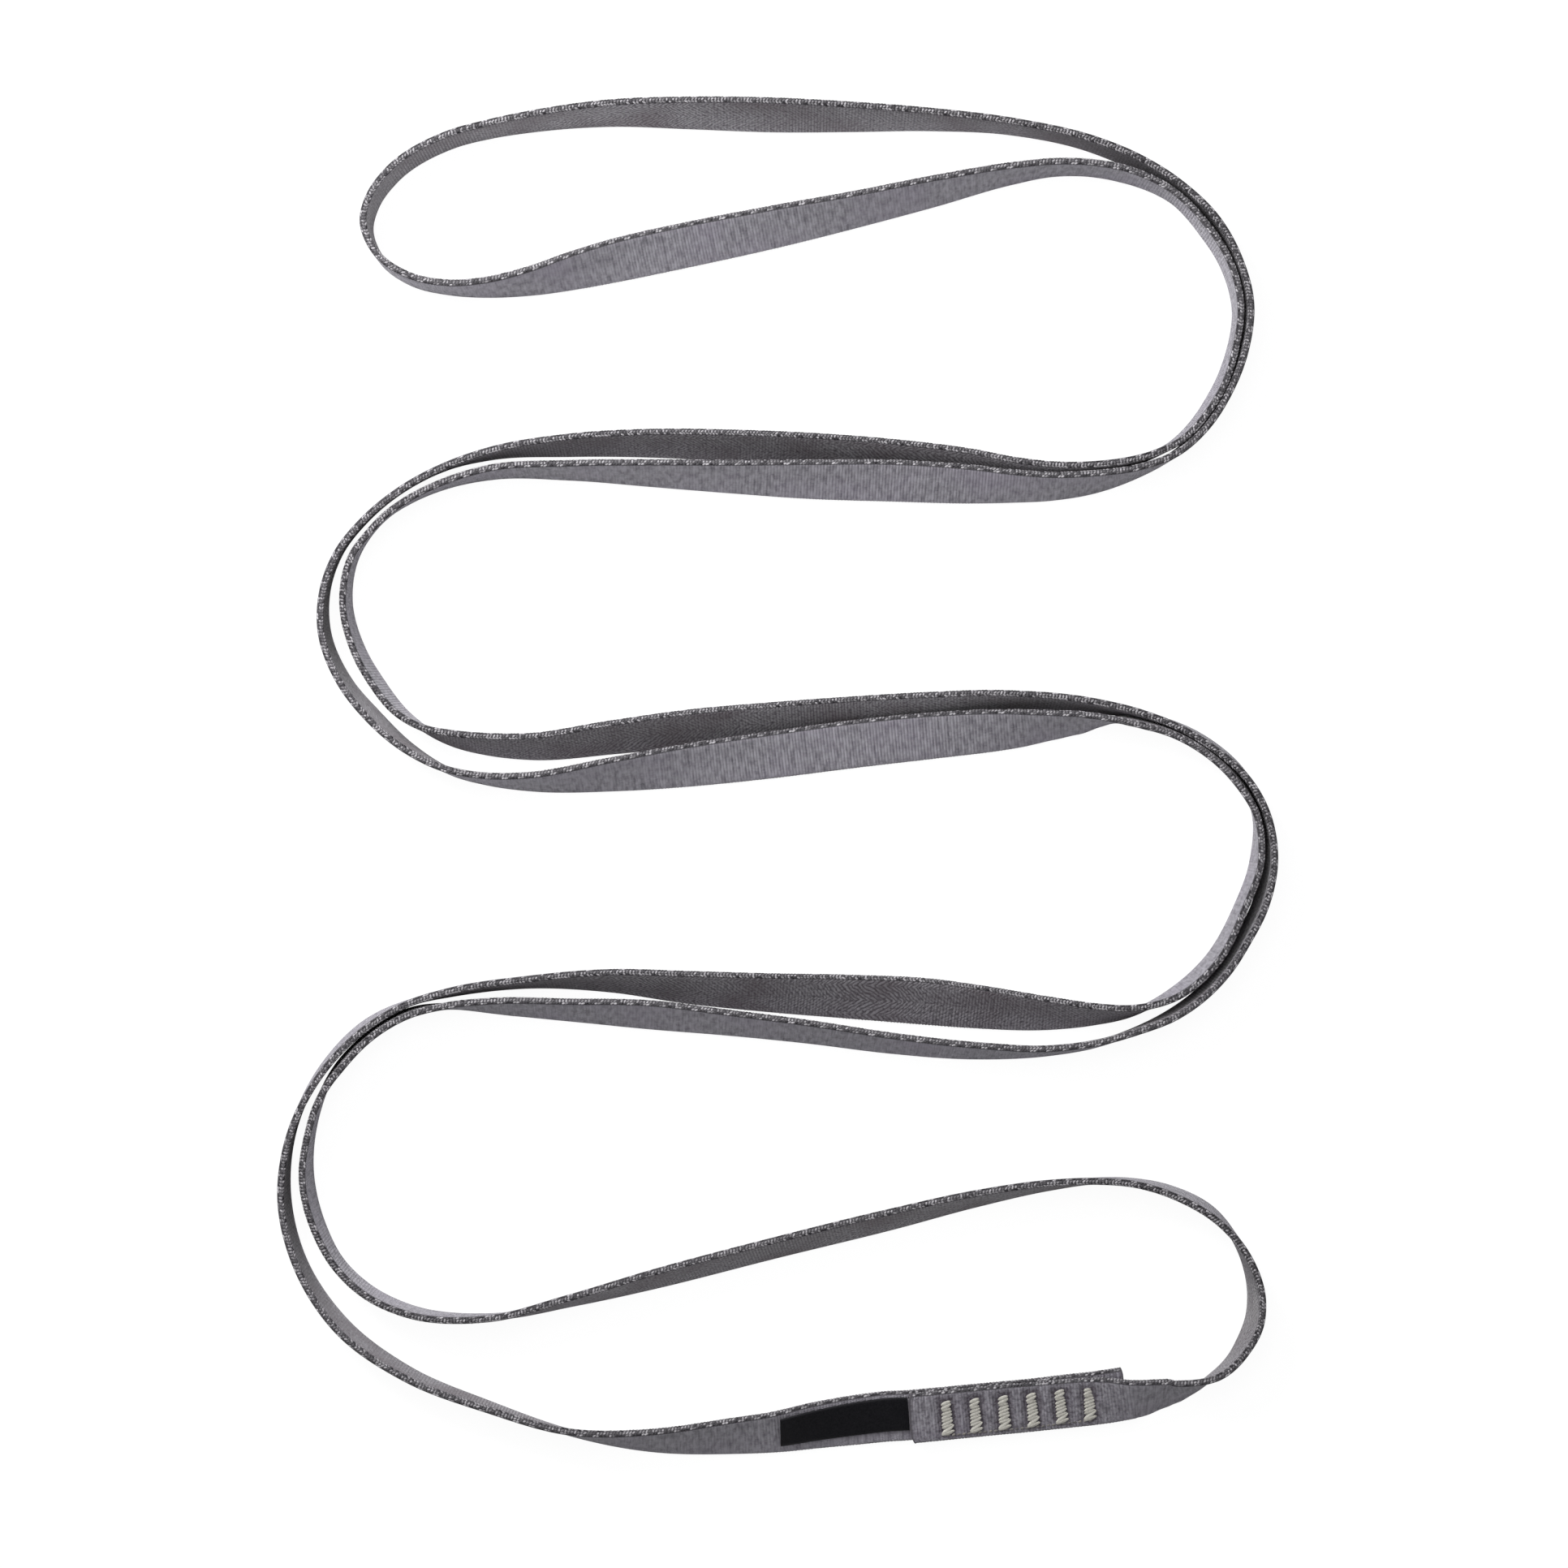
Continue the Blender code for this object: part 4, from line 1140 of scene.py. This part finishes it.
def stitch_tree():
    """Short turns of thread laid across an object's lines, one beside the next."""
    tree = bpy.data.node_groups.new("thread_turns", "GeometryNodeTree")
    add_sockets(tree, {
        "Core": "Geometry", "Rails": "Object", "Material": "Material",
        "Pitch": TACK_TURN_PITCH, "Length": TACK_WIDTH, "Width": TACK_THREAD,
        "Height": TACK_THREAD_HEIGHT, "Slant": math.radians(TACK_SLANT),
        "Unevenness": TACK_UNEVENNESS,
    })
    add_sockets(tree, {"Thread": "Geometry"}, "OUTPUT")
    given = tree.nodes.new("NodeGroupInput").outputs
    angle = maths(tree, "MULTIPLY", given["Slant"], random_value(tree, *TACK_SWAY, TACK_SEED))
    least = maths(tree, "SUBTRACT", 1.0, given["Unevenness"])
    most = maths(tree, "ADD", 1.0, given["Unevenness"])
    length = maths(tree, "MULTIPLY", given["Length"], stored(tree, "spread"))
    swell = random_value(tree, least, most, TACK_SEED)
    length = maths(tree, "MULTIPLY", length, swell)
    size = (length, given["Width"], given["Height"])
    tone = random_value(tree, 0.0, 1.0, TACK_SEED)
    turns = laid_ovals(tree, given, "Y", angle, size, (TACK_SEGMENTS, TACK_RINGS), tone)
    real = add_node(tree, "GeometryNodeRealizeInstances", {0: turns})
    smooth = add_node(tree, "GeometryNodeSetShadeSmooth", {0: real.outputs[0]})
    both = joined(tree, smooth.outputs[0], given["Core"])
    give_geometry(tree, {"Geometry": both, "Material": given["Material"]})
    return tree


def block_mesh(name, station, length, width, out_low, out_high):
    """A plain block in a station's own axes."""
    mesh = bpy.data.meshes.new(name)
    shape = bmesh.new()
    bmesh.ops.create_cube(shape, size=1)
    axes = Matrix((station.tangent, station.across, station.normal)).transposed().to_4x4()
    middle = station.point((out_low + out_high) / 2, 0)
    size = Matrix.Diagonal((length, width, out_high - out_low, 1))
    bmesh.ops.transform(shape, matrix=Matrix.Translation(middle) @ axes @ size, verts=shape.verts)
    shape.to_mesh(mesh)
    shape.free()
    return mesh


cream_thread = thread_material("cream_thread", THREAD_LIGHT, THREAD_DARK)
stitches = stitch_tree()
splice_faces = (3 * WEBBING_THICKNESS / 2 + LAYER_GAP, -WEBBING_THICKNESS / 2)
splice_top, splice_low = splice_faces
tack_middles = [left_end - TACK_MARGIN - number * TACK_PITCH for number in range(TACK_COUNT)]
reach = TACK_LENGTH / 2 - TACK_THREAD / 4
for number, middle in enumerate(tack_middles, 1):
    name = f"bar_tack_{number}"
    station = strap.at(middle)
    lines = []
    for out, sign in zip(splice_faces, (1, -1)):
        way = station.normal * sign
        lines.append([(station.point(out, end * reach), way, wide) for end, wide in TACK_SPREADS])
    rails = rail_object(name + "_rails", ("spread",), lines)
    # The block under the turns carries no tone, so it takes the thread's dark colour as painted shade in
    # the gaps between the turns
    core = block_mesh(
        name, station, TACK_WIDTH - TACK_THREAD, TACK_LENGTH - TACK_THREAD,
        splice_low - TACK_CORE_HEIGHT / 2, splice_top + TACK_CORE_HEIGHT / 2,
    )
    tack = grown_piece(name + "_thread", core, stitches, rails, {"Material": cream_thread})
    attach(tack, "tail")
    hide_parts(name)


# Small running stitches join the lower ends of the bar tacks, where the machine moved from
# one tack to the next without cutting the thread.
TRAVEL_ACROSS = -0.0063
TRAVEL_LIGHT = (0.30, 0.28, 0.26)
TRAVEL_DARK = (0.035, 0.030, 0.035)

# The thread's sizes in these smaller stitches, with their slant in radians
TRAVEL_STITCH = {
    "Pitch": 0.0017, "Length": 0.0007, "Width": 0.0013, "Height": 0.0004,
    "Slant": 0.25, "Unevenness": 0.3,
}

travel_thread = thread_material("travel_thread", TRAVEL_LIGHT, TRAVEL_DARK)
stations = [strap.at(middle) for middle in tack_middles]
lines = [
    [(station.point(out, TRAVEL_ACROSS), station.normal * sign, 1.0) for station in stations]
    for out, sign in zip(splice_faces, (1, -1))
]
rails = rail_object("travel_rails", ("spread",), lines)
travel = grown_piece(
    "travel_stitches", bpy.data.meshes.new("travel_stitches"), stitches, rails,
    {"Material": travel_thread, **TRAVEL_STITCH},
)
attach(travel, "tail")


# The label: one woven black tape, bare of any name, caught between the splice's two layers
# and hanging out beside it. Its root stays sewn in, and its flap lifts.
LABEL_WIDTH = 0.012
LABEL_THICKNESS = 0.0005
LABEL_FLAP_LENGTH = 0.0432
LABEL_ROOT_LENGTH = 0.008
LABEL_CLEARANCE = 0.0003
LABEL_LIFT = 0.0005
LABEL_SHIFT = 0.0016
LABEL_SLANT = 0.0007
LABEL_ROWS = 40
LABEL_COLUMNS = 12
LABEL_EDGE_SHARE = 0.5
LABEL_BEND = 0.009
PIECE_GAP = 0.0003
LABEL_COLOUR = (0.006, 0.006, 0.008)
LABEL_EDGE = (0.022, 0.021, 0.025)
LABEL_EDGE_WIDTH = 0.0006
LABEL_RIB = 0.0005
LABEL_YARN = 0.00045
LABEL_FLECK_SHARE = 0.35
LABEL_RELIEF = (0.6, 0.00012)
LABEL_FINISH = {"Roughness": 0.6, "Specular IOR Level": 0.15}


def label_material(rib_weave):
    """Black woven tape: a very fine ribbed weave, with slightly lighter edges."""
    material, tree, output = new_material("black_label_tape")
    across = attribute(tree, "across")
    weave = add_node(
        tree, "ShaderNodeGroup",
        {
            "Along": attribute(tree, "along"), "Across": across,
            "Rib Pitch": LABEL_RIB, "Yarn Width": LABEL_YARN,
        },
        node_tree=rib_weave,
    )
    half = LABEL_WIDTH / 2
    edge = ramp(tree, maths(tree, "ABSOLUTE", across), half - LABEL_EDGE_WIDTH, half)
    fleck = maths(tree, "MULTIPLY", weave.outputs["Tone"], LABEL_FLECK_SHARE)
    share = maths(tree, "ADD", edge, fleck, use_clamp=True)
    colour = mix_colour(tree, share, LABEL_COLOUR, LABEL_EDGE)
    give_surface(tree, output, colour, weave.outputs["Height"], LABEL_RELIEF, LABEL_FINISH)
    return material


def tape_mesh(name, low, high, rises, slant, material):
    """The label's tape from one length to the other, rising and cut off at a slant."""
    columns = list(range(LABEL_COLUMNS + 1))
    outline = [(1, column) for column in columns]
    outline += [(-1, column) for column in reversed(columns)]
    values = {"along": [], "across": []}
    vertices = []
    for row in range(LABEL_ROWS + 1):
        share = row / LABEL_ROWS
        rise = rises[0] + (rises[1] - rises[0]) * share
        for face, column in outline:
            across = LABEL_WIDTH * (column / LABEL_COLUMNS - 0.5)
            trim = slant * share * (across / LABEL_WIDTH + 0.5)
            length = low + (high - low) * share - trim
            thinning = LABEL_EDGE_SHARE if column in (0, LABEL_COLUMNS) else 1
            out = rise + LABEL_THICKNESS / 2 * face * thinning
            vertices.append(strap.at(length).point(out, across + LABEL_SHIFT))
            values["along"].append(length)
            values["across"].append(across)
    return tube_mesh(name, len(outline), vertices, values, material)


black_tape = label_material(rib_weave)
rise = (WEBBING_THICKNESS + LABEL_THICKNESS) / 2 + LABEL_CLEARANCE
for name, low, high, rises, slant in (
    ("label_root", left_end - LABEL_ROOT_LENGTH, left_end - PIECE_GAP / 2, (rise, rise), 0),
    (
        "label_flap", left_end + PIECE_GAP / 2, left_end + LABEL_FLAP_LENGTH,
        (rise, rise + LABEL_LIFT), LABEL_SLANT,
    ),
):
    tape = new_object(name + "_tape", tape_mesh(name, low, high, rises, slant, black_tape))
    if name == "label_root":
        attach(tape, "tail")
    else:
        bend_end = strap.at(left_end + LABEL_BEND).place
        strap.at(left_end).place
        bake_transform(tape)
    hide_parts(name)
